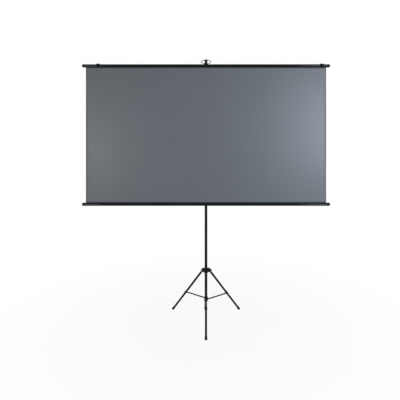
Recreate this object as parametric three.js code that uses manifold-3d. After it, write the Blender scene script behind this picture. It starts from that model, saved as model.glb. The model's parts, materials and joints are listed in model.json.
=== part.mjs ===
// Tripod projection screen. A hand-rolled screen hangs by a wire ring from the hook of a
// three-section pole, and the pole stands on three braced legs that fold in as the leg collar
// slides up. Millimetres, +Z up. The picture faces -Y, and the pole's axis is the drawing axis.

import * as THREE from 'three';
import { mergeVertices } from 'three/addons/utils/BufferGeometryUtils.js';
import Module from 'manifold-3d';

const wasm = await Module();
wasm.setup();

// Fits and roundness
const CLEARANCE = 0.3; // between pieces that seat, slide or turn on each other
const ROUND = 20; // sides of a tube or a collar
const SMALL_ROUND = 10; // sides of a pin, a stud or a wire
const ARC_STEPS = 5; // pairs of steps in an arc of a profile
const BAR_ARC_STEPS = 15; // pairs of steps round a bar
const MERGE = 1e-4; // points closer than this are one point

// Screen: a 100 inch picture of 16:9 between two slit tubes
const PICTURE_WIDTH = 2214;
const PICTURE_HEIGHT = 1245;
const FABRIC_THICKNESS = 0.5;
const SCREEN_STANDOFF = 70; // from the pole's axis forward to the fabric
const BAR_OD = 30;
const BAR_WALL = 1.5;
const BAR_SLIT = 2.5;
const BAR_BARE_END = 11; // bar beyond the fabric's edge, before the cap
const HEM_ROD_OD = 6; // plastic rod sewn into each hem, which the slit holds back
const CAP_OD = 32;
const CAP_LENGTH = 26;
const CAP_RIM = 4; // straight rim before the cap's dome
const CAP_DOME_STEPS = 2; // pairs of steps from rim to tip
const CAP_SPIGOT = 8;
const CAP_SPIGOT_WALL = 2.5;

// Hook-and-loop straps that tie up the rolled screen, wrapped on the top bar
const STRAP_WIDTH = 32;
const STRAP_THICKNESS = 2;
const STRAP_OVERLAP = 3.4; // extra height of the doubled end on top of the bar
const STRAP_OVERLAP_ARC = 62; // degrees
const STRAP_GAP_ARC = 40; // degrees left open for the fabric
const STRAP_LEFT_INSET = 114; // from the fabric's edge to the strap's middle
const STRAP_RIGHT_INSET = 41;

// Hanging ring and its bracket on the top bar
const RING_WIRE = 6;
const RING_WIDTH = 92; // between centre lines
const RING_HEIGHT = 28; // between centre lines
const RING_RUN = 34; // straight middle of the upper and the lower run
const RING_RUN_SHARE = 0.3; // of half the line's parameter
const RING_STEPS = 44;
const RING_SIDES = 8;
const RING_RISE = 8; // from the top of the bar to the ring's lower run
const BRACKET_SHEET = 2;
const BRACKET_EYE_WIDTH = 27;
const BRACKET_FOOT_WIDTH = 46;
const BRACKET_WRAP = 230; // degrees of the bar that the foot takes in

// Pole sections
const OUTER_POLE_OD = 25.4;
const OUTER_POLE_WALL = 1.2;
const OUTER_POLE_LENGTH = 949;
const MIDDLE_POLE_OD = 20.5;
const MIDDLE_POLE_WALL = 1;
const MIDDLE_POLE_REACH = 640; // stands out of the outer pole
const TOP_POLE_OD = 16;
const TOP_POLE_WALL = 1;
const TOP_POLE_REACH = 641; // stands out of the middle pole
const POLE_OVERLAP = 120; // length that a section keeps inside the one below
const GLIDE_LENGTH = 18;
const GLIDE_SPIGOT = 20;

// Clamps at the tops of the outer and the middle pole
const CLAMP_WALL = 5;
const CLAMP_GRIP = 40; // over the lower section
const CLAMP_NECK = 28; // above it, round the sliding section
const CLAMP_CHAMFER = 2;

// Locking knobs, with a brass insert in the boss that takes the stud
const BOSS_OD = 17;
const BOSS_LENGTH = 14; // out of the collar's side
const INSERT_OD = 9;
const INSERT_LENGTH = 12;
const STUD_OD = 6;
const STUD_IN_KNOB = 15;
const KNOB_OD = 27;
const KNOB_LENGTH = 22;
const KNOB_LOBES = 6;
const KNOB_LOBE_STEPS = 6;
const KNOB_FLUTE = 2.6;
const KNOB_ROUNDING = 2;

// Hook head on top of the pole
const HOOK_WIDTH = 29;
const HOOK_RISE = 11; // from the pole's top end to the ring's upper run
const HOOK_GROOVE = 8;
const HOOK_FLOOR = 5; // under the groove
const HOOK_LIP = 6; // thickness of the front lip
const HOOK_LIP_RISE = 6; // lip above the ring's upper run
const HOOK_BACK_RISE = 8; // back of the groove above the ring's upper run
const HOOK_ARM_WIDTH = 14;
const HOOK_SLEEVE_WALL = 4;
const HOOK_SLEEVE_GRIP = 42;
const HOOK_SCREW_OD = 4;
const HOOK_SCREW_HEAD = 8;
const HOOK_SCREW_HEAD_LENGTH = 3;

// Leg collar, which slides on the outer pole
const COLLAR_WALL = 6.3;
const COLLAR_BELOW = 16; // below the leg pivots
const COLLAR_ABOVE = 28; // above them
const COLLAR_CHAMFER = 2;
const COLLAR_KNOB_RISE = 17; // knob above the leg pivots
const COLLAR_KNOB_AZIMUTH = -30; // degrees from +X, between the front and the right leg
const LEG_PIVOT_RADIUS = 40;
const CLEVIS_RADIUS = 10;
const CLEVIS_CROWN = 23; // top of its shoulder above the leg pivots
const CLEVIS_LEAN = 20; // degrees up its round end, where the shoulder starts
const CLEVIS_CHEEK = 5.2;
const LEG_PIN_OD = 6;
const PIN_HEAD_EXTRA = 4; // head's diameter over the pin's
const PIN_HEAD_LENGTH = 2.2;

// Legs
const LEG_AZIMUTHS = { front: -90, right: 30, left: 150 };
const LEG_SPREAD = 37.5; // degrees from upright
const LEG_LENGTH = 560; // pivot to floor, along the leg
const LEG_OD = 19;
const LEG_WALL = 1.2;
const LEG_TUBE_START = 20; // from the pivot
const TONGUE_WIDTH = 11;
const TONGUE_RADIUS = 9;
const PLUG_FLANGE = 6;
const PLUG_SPIGOT = 26;
const CLIP_DISTANCE = 309; // pivot to the brace's pivot, along the leg
const CLIP_LENGTH = 30;
const CLIP_WALL = 1.8;
const CLIP_PAD_OD = 15;
const CLIP_FACE = 12; // from the leg's axis to the pad's flat face
const FOOT_OD = 24;
const FOOT_GRIP = 20;
const FOOT_END = 8; // rubber past the tube's end
const FOOT_FLAT = 5; // depth of the lower corner that is cut level with the floor
const FOOT_ROUNDING = 1.5;
const FOOT_RIM = 0.7; // the mouth is narrower by this, on the radius

// Spider at the pole's foot and the three braces
const SPIDER_HEIGHT = 186; // its pivots above the floor
const SPIDER_PIVOT_RADIUS = 23;
const SPIDER_WALL = 4;
const SPIDER_ABOVE = 20;
const SPIDER_BELOW = 20;
const SPIDER_FLOOR = 5;
const SPIDER_LUG_RADIUS = 7;
const SPIDER_EAR = 6.5;
const BRACE_SHEET = 2.5;
const BRACE_DEPTH = 12;
const BEAD_WIDTH = 5; // of the pressed bead along the strip
const BEAD_RISE = 0.8;
const BEAD_INSET = 24; // from each pivot
const BRACE_PIN_OD = 5;

// Worked out from the sizes above
const spread = THREE.MathUtils.degToRad(LEG_SPREAD);
const legPivotZ = LEG_LENGTH * Math.cos(spread);
const clipRadius = LEG_PIVOT_RADIUS + CLIP_DISTANCE * Math.sin(spread);
const clipZ = legPivotZ - CLIP_DISTANCE * Math.cos(spread);
const braceRun = clipRadius - SPIDER_PIVOT_RADIUS;
const braceRise = clipZ - SPIDER_HEIGHT;
const braceLength = Math.hypot(braceRun, braceRise);
const braceTilt = Math.atan2(braceRise, braceRun);
const braceMiddle = CLIP_FACE + CLEARANCE + BRACE_SHEET / 2;
const outerBottom = SPIDER_HEIGHT - SPIDER_BELOW + SPIDER_FLOOR + CLEARANCE;
const outerTop = outerBottom + OUTER_POLE_LENGTH;
const middleTop = outerTop + MIDDLE_POLE_REACH;
const middleBottom = outerTop - POLE_OVERLAP;
const topTop = middleTop + TOP_POLE_REACH;
const topBottom = middleTop - POLE_OVERLAP;
const ringTopZ = topTop + HOOK_RISE;
const ringLowZ = ringTopZ - RING_HEIGHT;
const topBarZ = ringLowZ - RING_RISE - BAR_OD / 2;
const bottomBarZ = topBarZ - BAR_OD - PICTURE_HEIGHT;
const barLength = PICTURE_WIDTH + 2 * BAR_BARE_END;
const barBore = BAR_OD / 2 - BAR_WALL;
const hemBore = HEM_ROD_OD / 2 + CLEARANCE;
const hemRadius = hemBore + FABRIC_THICKNESS;
const hemOffset = barBore - hemRadius - CLEARANCE; // from the bar's axis to the hem's
const hookGrooveZ = ringTopZ - RING_WIRE / 2 - CLEARANCE;

const materials = {
  powderCoat: new THREE.MeshStandardMaterial({ color: '#17181a', roughness: 0.42, metalness: 0.35 }),
  anodised: new THREE.MeshStandardMaterial({ color: '#141517', roughness: 0.3, metalness: 0.6 }),
  plastic: new THREE.MeshStandardMaterial({ color: '#121314', roughness: 0.55, metalness: 0 }),
  nylon: new THREE.MeshStandardMaterial({ color: '#d9d7cf', roughness: 0.5, metalness: 0 }),
  rubber: new THREE.MeshStandardMaterial({ color: '#161616', roughness: 0.9, metalness: 0 }),
  zinc: new THREE.MeshStandardMaterial({ color: '#a9abad', roughness: 0.35, metalness: 1 }),
  brass: new THREE.MeshStandardMaterial({ color: '#b08d4c', roughness: 0.35, metalness: 1 }),
  fabric: new THREE.MeshStandardMaterial({ color: '#6c7074', roughness: 0.9, metalness: 0 }),
  strap: new THREE.MeshStandardMaterial({ color: '#0f0f10', roughness: 0.95, metalness: 0 }),
};

// Geometry in and out of the boolean library

function toSolid(geometry) {
  const bare = geometry.clone();
  bare.deleteAttribute('normal');
  bare.deleteAttribute('uv');
  const merged = mergeVertices(bare, MERGE);
  const corners = merged.index.array;
  const triVerts = [];
  for (let i = 0; i < corners.length; i += 3) {
    const [a, b, c] = corners.slice(i, i + 3);
    if (a !== b && b !== c && c !== a) triVerts.push(a, b, c);
  }
  const vertProperties = new Float32Array(merged.attributes.position.array);
  const mesh = new wasm.Mesh({ numProp: 3, vertProperties, triVerts: new Uint32Array(triVerts) });
  return new wasm.Manifold(mesh);
}

function fromSolid(solid) {
  const { vertProperties, triVerts } = solid.getMesh();
  const geometry = new THREE.BufferGeometry();
  geometry.setAttribute('position', new THREE.BufferAttribute(vertProperties, 3));
  geometry.setIndex(new THREE.BufferAttribute(triVerts, 1));
  return geometry;
}

function join(...pieces) {
  return fromSolid(pieces.map(toSolid).reduce((whole, piece) => whole.add(piece)));
}

function cut(piece, ...tools) {
  return fromSolid(tools.map(toSolid).reduce((left, tool) => left.subtract(tool), toSolid(piece)));
}

// Basic forms

// A turned form about Z, from points of radius and height that run anticlockwise
function turned(profile, sides = ROUND) {
  const points = profile.map(([radius, height]) => new THREE.Vector2(radius, height));
  return new THREE.LatheGeometry(points, sides).rotateX(Math.PI / 2);
}

function tube(od, wall, low, high) {
  const outside = od / 2;
  const inside = outside - wall;
  return turned([[inside, low], [outside, low], [outside, high], [inside, high], [inside, low]]);
}

function rod(od, low, high, sides = SMALL_ROUND) {
  return turned([[0, low], [od / 2, low], [od / 2, high], [0, high]], sides);
}

const alongX = (geometry) => geometry.rotateY(Math.PI / 2);
const alongY = (geometry) => geometry.rotateX(-Math.PI / 2);
const turnedTo = (geometry, degrees) => geometry.rotateZ(THREE.MathUtils.degToRad(degrees));

function block(width, depth, height) {
  return new THREE.BoxGeometry(width, depth, height);
}

function extruded(shape, length, basis, arcSteps = ARC_STEPS) {
  const settings = { depth: length, bevelEnabled: false, curveSegments: arcSteps };
  const geometry = new THREE.ExtrudeGeometry(shape, settings);
  return geometry.translate(0, 0, -length / 2).applyMatrix4(basis);
}

const X = new THREE.Vector3(1, 0, 0);
const Y = new THREE.Vector3(0, 1, 0);
const Z = new THREE.Vector3(0, 0, 1);
const standing = new THREE.Matrix4().makeBasis(X, Z, Y.clone().negate());
const crosswise = new THREE.Matrix4().makeBasis(Y, Z, X);

// A profile in the XZ plane, with its thickness centred on Y
const plate = (shape, thickness) => extruded(shape, thickness, standing);

// A profile in the YZ plane, with its length centred on X
const bar = (shape, length, arcSteps) => extruded(shape, length, crosswise, arcSteps);

function circle(radius, x = 0, y = 0) {
  const path = new THREE.Path();
  path.absarc(x, y, radius, 0, 2 * Math.PI);
  return path;
}

// A ring of sheet between two angles, given in degrees
function band(inside, outside, from, to) {
  const start = THREE.MathUtils.degToRad(from);
  const end = THREE.MathUtils.degToRad(to);
  const shape = new THREE.Shape();
  shape.absarc(0, 0, outside, start, end);
  shape.absarc(0, 0, inside, end, start, true);
  return shape;
}

function piece(name, geometry, material) {
  const mesh = new THREE.Mesh(geometry, material);
  mesh.name = name;
  return mesh;
}

function placed(position, ...members) {
  const group = new THREE.Group();
  group.position.set(...position);
  group.add(...members);
  return group;
}

// Pole sections and the nylon glides on the lower ends of the sliding ones

function glide(poleOd, poleWall, boreOd, bottom) {
  const spigot = poleOd / 2 - poleWall - CLEARANCE;
  const flange = boreOd / 2 - CLEARANCE;
  const seat = bottom - CLEARANCE;
  return turned([
    [0, seat - GLIDE_LENGTH],
    [flange, seat - GLIDE_LENGTH],
    [flange, seat],
    [spigot, seat],
    [spigot, bottom + GLIDE_SPIGOT],
    [0, bottom + GLIDE_SPIGOT],
  ]);
}

function poles() {
  const outerBore = OUTER_POLE_OD - 2 * OUTER_POLE_WALL;
  const middleBore = MIDDLE_POLE_OD - 2 * MIDDLE_POLE_WALL;
  const outer = tube(OUTER_POLE_OD, OUTER_POLE_WALL, outerBottom, outerTop);
  const middle = tube(MIDDLE_POLE_OD, MIDDLE_POLE_WALL, middleBottom, middleTop);
  const top = tube(TOP_POLE_OD, TOP_POLE_WALL, topBottom, topTop);
  const middleGlide = glide(MIDDLE_POLE_OD, MIDDLE_POLE_WALL, outerBore, middleBottom);
  const topGlide = glide(TOP_POLE_OD, TOP_POLE_WALL, middleBore, topBottom);
  return [
    piece('outer_pole', outer, materials.powderCoat),
    piece('middle_pole', middle, materials.powderCoat),
    piece('top_pole', top, materials.powderCoat),
    piece('middle_pole_glide', middleGlide, materials.nylon),
    piece('top_pole_glide', topGlide, materials.nylon),
  ];
}

// Locking knob, its stud and the threaded insert, along +X from the pole's axis. The boss is part
// of the collar that carries them.

function boss(bossEnd) {
  return alongX(rod(BOSS_OD, 0, bossEnd, ROUND));
}

function bossBore(bossEnd) {
  const stud = alongX(rod(STUD_OD + 2 * CLEARANCE, 0, bossEnd));
  const pocket = alongX(rod(INSERT_OD + 2 * CLEARANCE, bossEnd - INSERT_LENGTH - CLEARANCE, bossEnd + 1));
  return join(stud, pocket);
}

function starOutline() {
  const points = [];
  const count = KNOB_LOBES * KNOB_LOBE_STEPS;
  for (let i = 0; i < count; i += 1) {
    const angle = (2 * Math.PI * i) / count;
    const flute = (KNOB_FLUTE * (1 - Math.cos(KNOB_LOBES * angle))) / 2;
    const radius = KNOB_OD / 2 - KNOB_ROUNDING - flute;
    points.push(new THREE.Vector2(radius * Math.cos(angle), radius * Math.sin(angle)));
  }
  return new THREE.Shape(points);
}

function lock(name, poleOd, bossEnd) {
  const knobStart = bossEnd + CLEARANCE;
  const studEnd = knobStart + STUD_IN_KNOB;
  const star = new THREE.ExtrudeGeometry(starOutline(), {
    depth: KNOB_LENGTH - 2 * KNOB_ROUNDING,
    bevelThickness: KNOB_ROUNDING,
    bevelSize: KNOB_ROUNDING,
    bevelSegments: 1,
  });
  star.translate(0, 0, knobStart + KNOB_ROUNDING);
  const socket = rod(STUD_OD + 2 * CLEARANCE, knobStart - 1, studEnd + CLEARANCE);
  const stud = rod(STUD_OD, poleOd / 2 + CLEARANCE, studEnd);
  const insertRadius = INSERT_OD / 2;
  const insert = tube(INSERT_OD, insertRadius - STUD_OD / 2 - CLEARANCE, bossEnd - INSERT_LENGTH, bossEnd);
  return [
    piece(`${name}_knob`, alongX(cut(star, socket)), materials.plastic),
    piece(`${name}_stud`, alongX(stud), materials.zinc),
    piece(`${name}_insert`, alongX(insert), materials.brass),
  ];
}

// Moulded clamp: its skirt holds the lower section's end and its neck guides the sliding section

function clamp(name, lowerOd, sliderOd, seatZ) {
  const outside = lowerOd / 2 + CLAMP_WALL;
  const neck = sliderOd / 2 + CLEARANCE;
  const skirt = lowerOd / 2 + CLEARANCE;
  const low = -CLAMP_GRIP;
  const high = CLAMP_NECK;
  const bossEnd = outside + BOSS_LENGTH;
  const body = turned([
    [skirt, low],
    [outside - CLAMP_CHAMFER, low],
    [outside, low + CLAMP_CHAMFER],
    [outside, high - CLAMP_CHAMFER],
    [outside - CLAMP_CHAMFER, high],
    [neck, high],
    [neck, CLEARANCE],
    [skirt, CLEARANCE],
    [skirt, low],
  ]);
  const lockZ = CLAMP_NECK / 2;
  const bore = rod(2 * neck, low - 1, high + 1, ROUND);
  const stub = cut(boss(bossEnd).translate(0, 0, lockZ), bore);
  const moulded = cut(join(body, stub), bossBore(bossEnd).translate(0, 0, lockZ));
  const lockGroup = placed([0, 0, lockZ], ...lock(name, sliderOd, bossEnd));
  const group = placed([0, 0, seatZ], piece(name, moulded, materials.plastic), lockGroup);
  group.rotation.z = Math.PI / 2; // knobs at the back, behind the screen
  return group;
}

// Leg collar with three clevises, its pins and its lock

function clevisLug(outside) {
  const root = outside - COLLAR_WALL / 2;
  const lean = THREE.MathUtils.degToRad(CLEVIS_LEAN);
  const startX = LEG_PIVOT_RADIUS + CLEVIS_RADIUS * Math.cos(lean);
  const climb = CLEVIS_CROWN - CLEVIS_RADIUS * Math.sin(lean);
  const shape = new THREE.Shape();
  shape.moveTo(root, -CLEVIS_RADIUS);
  shape.lineTo(LEG_PIVOT_RADIUS, -CLEVIS_RADIUS);
  shape.absarc(LEG_PIVOT_RADIUS, 0, CLEVIS_RADIUS, -Math.PI / 2, lean);
  shape.quadraticCurveTo(startX - climb * Math.tan(lean), CLEVIS_CROWN, root, CLEVIS_CROWN);
  shape.holes.push(circle(LEG_PIN_OD / 2 + CLEARANCE, LEG_PIVOT_RADIUS));
  return plate(shape, TONGUE_WIDTH + 2 * CLEARANCE + 2 * CLEVIS_CHEEK);
}

function clevisSlot() {
  const inner = LEG_PIVOT_RADIUS - TONGUE_RADIUS - 5 * CLEARANCE;
  const length = TONGUE_RADIUS + CLEVIS_RADIUS + 2 * LEG_PIVOT_RADIUS;
  const slot = block(length, TONGUE_WIDTH + 2 * CLEARANCE, length);
  return slot.translate(inner + length / 2, 0, 0);
}

// A pin along Y with a head at each end, clear of the cheeks that it holds together
function headedPin(od, cheekFace) {
  const face = cheekFace + CLEARANCE;
  const end = face + PIN_HEAD_LENGTH;
  const head = (od + PIN_HEAD_EXTRA) / 2;
  const dome = head - PIN_HEAD_LENGTH / 2;
  return alongY(turned([
    [0, -end],
    [dome, -end],
    [head, -face - PIN_HEAD_LENGTH / 2],
    [head, -face],
    [od / 2, -face],
    [od / 2, face],
    [head, face],
    [head, face + PIN_HEAD_LENGTH / 2],
    [dome, end],
    [0, end],
  ], SMALL_ROUND));
}

function legCollar() {
  const bore = OUTER_POLE_OD / 2 + CLEARANCE;
  const outside = OUTER_POLE_OD / 2 + COLLAR_WALL;
  const bossEnd = outside + BOSS_LENGTH;
  const sleeve = turned([
    [bore, -COLLAR_BELOW],
    [outside - COLLAR_CHAMFER, -COLLAR_BELOW],
    [outside, COLLAR_CHAMFER - COLLAR_BELOW],
    [outside, COLLAR_ABOVE - COLLAR_CHAMFER],
    [outside - COLLAR_CHAMFER, COLLAR_ABOVE],
    [bore, COLLAR_ABOVE],
    [bore, -COLLAR_BELOW],
  ]);
  const lugs = Object.values(LEG_AZIMUTHS).map((azimuth) => {
    return turnedTo(cut(clevisLug(outside), clevisSlot()), azimuth);
  });
  const knobBoss = turnedTo(boss(bossEnd), COLLAR_KNOB_AZIMUTH).translate(0, 0, COLLAR_KNOB_RISE);
  const knobBore = turnedTo(bossBore(bossEnd), COLLAR_KNOB_AZIMUTH).translate(0, 0, COLLAR_KNOB_RISE);
  const poleBore = rod(2 * bore, -COLLAR_BELOW - 1, COLLAR_ABOVE + 1, ROUND);
  const moulded = cut(join(sleeve, ...lugs, knobBoss), poleBore, knobBore);
  const lockGroup = placed([0, 0, COLLAR_KNOB_RISE], ...lock('leg_collar', OUTER_POLE_OD, bossEnd));
  lockGroup.rotation.z = THREE.MathUtils.degToRad(COLLAR_KNOB_AZIMUTH);
  return placed([0, 0, legPivotZ], piece('leg_collar', moulded, materials.plastic), lockGroup);
}

// One leg, drawn hanging down from its pivot and then swung out by the spread

function legPlug() {
  const flangeTop = LEG_TUBE_START - PLUG_FLANGE;
  const shape = new THREE.Shape();
  shape.moveTo(-TONGUE_RADIUS, -flangeTop - PLUG_FLANGE / 2);
  shape.lineTo(TONGUE_RADIUS, -flangeTop - PLUG_FLANGE / 2);
  shape.lineTo(TONGUE_RADIUS, 0);
  shape.absarc(0, 0, TONGUE_RADIUS, 0, Math.PI);
  shape.holes.push(circle(LEG_PIN_OD / 2 + CLEARANCE));
  const tongue = plate(shape, TONGUE_WIDTH);
  const seat = CLEARANCE - LEG_TUBE_START;
  const spigot = LEG_OD / 2 - LEG_WALL - CLEARANCE;
  const body = turned([
    [0, seat - PLUG_SPIGOT],
    [spigot, seat - PLUG_SPIGOT],
    [spigot, seat],
    [LEG_OD / 2, seat],
    [LEG_OD / 2, -flangeTop],
    [0, -flangeTop],
  ]);
  return join(tongue, body);
}

function legClip() {
  const bore = LEG_OD + 2 * CLEARANCE;
  const sleeve = rod(bore + 2 * CLIP_WALL, -CLIP_LENGTH / 2, CLIP_LENGTH / 2, ROUND);
  const pad = alongY(rod(CLIP_PAD_OD, -CLIP_FACE, 0, ROUND));
  return cut(join(sleeve, pad), rod(bore, -CLIP_LENGTH, CLIP_LENGTH, ROUND));
}

// The rubber foot is a cup on the leg's end, square to the leg, with its lower corner cut level
function legFoot(footEnd) {
  const bore = LEG_OD / 2 + CLEARANCE;
  const outside = FOOT_OD / 2;
  const seat = FOOT_END - footEnd - CLEARANCE;
  const mouth = FOOT_END + FOOT_GRIP - footEnd;
  const cup = turned([
    [0, -footEnd],
    [outside - FOOT_ROUNDING, -footEnd],
    [outside, FOOT_ROUNDING - footEnd],
    [outside, mouth - FOOT_GRIP / 2],
    [outside - FOOT_RIM, mouth],
    [bore, mouth],
    [bore, seat],
    [0, seat],
  ]);
  const ground = block(4 * FOOT_OD, 4 * FOOT_OD, 4 * FOOT_OD).translate(0, 0, -2 * FOOT_OD);
  return cut(cup, ground.rotateY(spread).translate(0, 0, -LEG_LENGTH));
}

function leg(side) {
  const footEnd = LEG_LENGTH - ((FOOT_OD / 2) * Math.sin(spread) - FOOT_FLAT) / Math.cos(spread);
  const tubeEnd = footEnd - FOOT_END;
  const group = placed(
    [LEG_PIVOT_RADIUS, 0, legPivotZ],
    piece(`leg_tube_${side}`, tube(LEG_OD, LEG_WALL, -tubeEnd, -LEG_TUBE_START), materials.powderCoat),
    piece(`leg_plug_${side}`, legPlug(), materials.plastic),
    piece(`leg_clip_${side}`, legClip().translate(0, 0, -CLIP_DISTANCE), materials.plastic),
    piece(`leg_foot_${side}`, legFoot(footEnd), materials.rubber),
  );
  group.rotation.y = -spread;
  return group;
}

// Spider: a moulded cup on the pole's foot with an ear beside each brace

function spiderEar() {
  const shape = new THREE.Shape();
  shape.moveTo(0, -SPIDER_LUG_RADIUS);
  shape.lineTo(SPIDER_PIVOT_RADIUS, -SPIDER_LUG_RADIUS);
  shape.absarc(SPIDER_PIVOT_RADIUS, 0, SPIDER_LUG_RADIUS, -Math.PI / 2, Math.PI / 2);
  shape.lineTo(0, SPIDER_LUG_RADIUS);
  shape.holes.push(circle(BRACE_PIN_OD / 2 + CLEARANCE, SPIDER_PIVOT_RADIUS));
  return plate(shape, SPIDER_EAR).translate(0, SPIDER_EAR / 2 - CLIP_FACE, 0);
}

function spider() {
  const bore = OUTER_POLE_OD / 2 + CLEARANCE;
  const outside = bore + SPIDER_WALL;
  const floor = SPIDER_FLOOR - SPIDER_BELOW;
  const cup = turned([
    [0, -SPIDER_BELOW],
    [outside - SPIDER_WALL / 2, -SPIDER_BELOW],
    [outside, SPIDER_WALL / 2 - SPIDER_BELOW],
    [outside, SPIDER_ABOVE],
    [bore, SPIDER_ABOVE],
    [bore, floor],
    [0, floor],
  ]);
  const ears = Object.values(LEG_AZIMUTHS).map((azimuth) => turnedTo(spiderEar(), azimuth));
  const poleBore = rod(2 * bore, floor, SPIDER_ABOVE + 1, ROUND);
  return cut(join(cup, ...ears), poleBore).translate(0, 0, SPIDER_HEIGHT);
}

// Brace: one pressed strip beside the leg, with a bead along it and a rivet head at the leg's end

function rounded(from, to, width) {
  const half = width / 2;
  const shape = new THREE.Shape();
  shape.absarc(from, 0, half, Math.PI / 2, (3 * Math.PI) / 2);
  shape.absarc(to, 0, half, -Math.PI / 2, Math.PI / 2);
  return shape;
}

function rivetHead() {
  const head = (BRACE_PIN_OD + PIN_HEAD_EXTRA) / 2;
  const profile = [
    [0, 0],
    [head, 0],
    [head, PIN_HEAD_LENGTH / 2],
    [head - PIN_HEAD_LENGTH / 2, PIN_HEAD_LENGTH],
    [0, PIN_HEAD_LENGTH],
  ];
  return alongY(turned(profile, SMALL_ROUND));
}

function brace() {
  const outline = rounded(0, braceLength, BRACE_DEPTH);
  outline.holes.push(circle(BRACE_PIN_OD / 2 + CLEARANCE));
  const strip = plate(outline, BRACE_SHEET);
  const bead = plate(rounded(BEAD_INSET, braceLength - BEAD_INSET, BEAD_WIDTH), BRACE_SHEET);
  const rivet = rivetHead().rotateZ(Math.PI).translate(braceLength, -BRACE_SHEET / 4, 0);
  return join(strip, bead.translate(0, -BEAD_RISE, 0), rivet).translate(0, -braceMiddle, 0);
}

// A leg, its brace and their pins, turned to the leg's place round the pole

function legSide([side, azimuth]) {
  const strip = piece(`brace_${side}`, brace(), materials.powderCoat);
  const strut = placed([SPIDER_PIVOT_RADIUS, 0, SPIDER_HEIGHT], strip);
  strut.rotation.y = -braceTilt;
  const cheekFace = TONGUE_WIDTH / 2 + CLEARANCE + CLEVIS_CHEEK;
  const legPin = headedPin(LEG_PIN_OD, cheekFace).translate(LEG_PIVOT_RADIUS, 0, legPivotZ);
  const gripped = (SPIDER_EAR + CLEARANCE + BRACE_SHEET) / 2;
  const bracePin = headedPin(BRACE_PIN_OD, gripped);
  bracePin.translate(SPIDER_PIVOT_RADIUS, SPIDER_EAR - CLIP_FACE - gripped, SPIDER_HEIGHT);
  const group = placed(
    [0, 0, 0],
    leg(side),
    strut,
    piece(`leg_pin_${side}`, legPin, materials.zinc),
    piece(`brace_pin_${side}`, bracePin, materials.zinc),
  );
  group.rotation.z = THREE.MathUtils.degToRad(azimuth);
  return group;
}

// Hook head: a capped sleeve on the pole, an arm forward and a wide hook for the ring

function hookShape() {
  const front = -SCREEN_STANDOFF;
  const half = HOOK_GROOVE / 2;
  const floor = hookGrooveZ - HOOK_FLOOR;
  const lipTop = ringTopZ + HOOK_LIP_RISE;
  const backTop = ringTopZ + HOOK_BACK_RISE;
  const shape = new THREE.Shape();
  shape.moveTo(front + half + HOOK_LIP, floor);
  shape.lineTo(front + half + HOOK_LIP, backTop);
  shape.lineTo(front + half, backTop);
  shape.lineTo(front + half, hookGrooveZ + half);
  shape.absarc(front, hookGrooveZ + half, half, 0, -Math.PI, true);
  shape.lineTo(front - half, lipTop - HOOK_LIP / 2);
  shape.absarc(front - half - HOOK_LIP / 2, lipTop - HOOK_LIP / 2, HOOK_LIP / 2, 0, Math.PI);
  shape.lineTo(front - half - HOOK_LIP, floor + HOOK_LIP / 2);
  shape.absarc(front - half - HOOK_LIP / 2, floor + HOOK_LIP / 2, HOOK_LIP / 2, Math.PI, 1.5 * Math.PI);
  return shape;
}

function armShape() {
  const front = HOOK_GROOVE / 2 + HOOK_LIP / 2 - SCREEN_STANDOFF;
  const floor = hookGrooveZ - HOOK_FLOOR;
  const shape = new THREE.Shape();
  shape.moveTo(front, floor);
  shape.quadraticCurveTo(-SCREEN_STANDOFF / 3, floor, 0, topTop - HOOK_SLEEVE_GRIP);
  shape.lineTo(0, ringTopZ + HOOK_BACK_RISE);
  shape.lineTo(front, ringTopZ + HOOK_BACK_RISE);
  return shape;
}

function hookHead() {
  const bore = TOP_POLE_OD / 2 + CLEARANCE;
  const outside = bore + HOOK_SLEEVE_WALL;
  const low = topTop - HOOK_SLEEVE_GRIP;
  const high = ringTopZ + HOOK_BACK_RISE;
  const sleeve = rod(2 * outside, low, high, ROUND);
  const body = join(sleeve, bar(armShape(), HOOK_ARM_WIDTH), bar(hookShape(), HOOK_WIDTH));
  const poleBore = rod(2 * bore, low - 1, topTop + CLEARANCE, ROUND);
  const screwBore = alongY(rod(HOOK_SCREW_OD + 2 * CLEARANCE, 0, 2 * outside));
  return cut(body, poleBore, screwBore.translate(0, 0, topTop - HOOK_SLEEVE_GRIP / 2));
}

function hookScrew() {
  const face = TOP_POLE_OD / 2 + HOOK_SLEEVE_WALL + 2 * CLEARANCE;
  const screw = turned([
    [0, TOP_POLE_OD / 2 + CLEARANCE],
    [HOOK_SCREW_OD / 2, TOP_POLE_OD / 2 + CLEARANCE],
    [HOOK_SCREW_OD / 2, face],
    [HOOK_SCREW_HEAD / 2, face],
    [HOOK_SCREW_HEAD / 2, face + HOOK_SCREW_HEAD_LENGTH / 2],
    [HOOK_SCREW_HEAD / 4, face + HOOK_SCREW_HEAD_LENGTH],
    [0, face + HOOK_SCREW_HEAD_LENGTH],
  ], SMALL_ROUND);
  return alongY(screw).translate(0, 0, topTop - HOOK_SLEEVE_GRIP / 2);
}

// Hanging ring: one closed loop of wire, two straight runs joined by half ellipses

class RingLine extends THREE.Curve {
  getPoint(t) {
    const turn = ((t % 1) + 1) % 1 * 2;
    const flip = turn >= 1 ? -1 : 1;
    const along = turn >= 1 ? turn - 1 : turn;
    const low = (-flip * RING_HEIGHT) / 2;
    if (along < RING_RUN_SHARE) {
      return new THREE.Vector3(flip * RING_RUN * (along / RING_RUN_SHARE - 0.5), 0, low);
    }
    const angle = (Math.PI * (along - RING_RUN_SHARE)) / (1 - RING_RUN_SHARE);
    const x = RING_RUN / 2 + ((RING_WIDTH - RING_RUN) / 2) * Math.sin(angle);
    return new THREE.Vector3(flip * x, 0, low * Math.cos(angle));
  }
}

function ring() {
  const loop = new THREE.TubeGeometry(new RingLine(), RING_STEPS, RING_WIRE / 2, RING_SIDES, true);
  return fromSolid(toSolid(loop)).translate(0, 0, (ringTopZ + ringLowZ) / 2);
}

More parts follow.
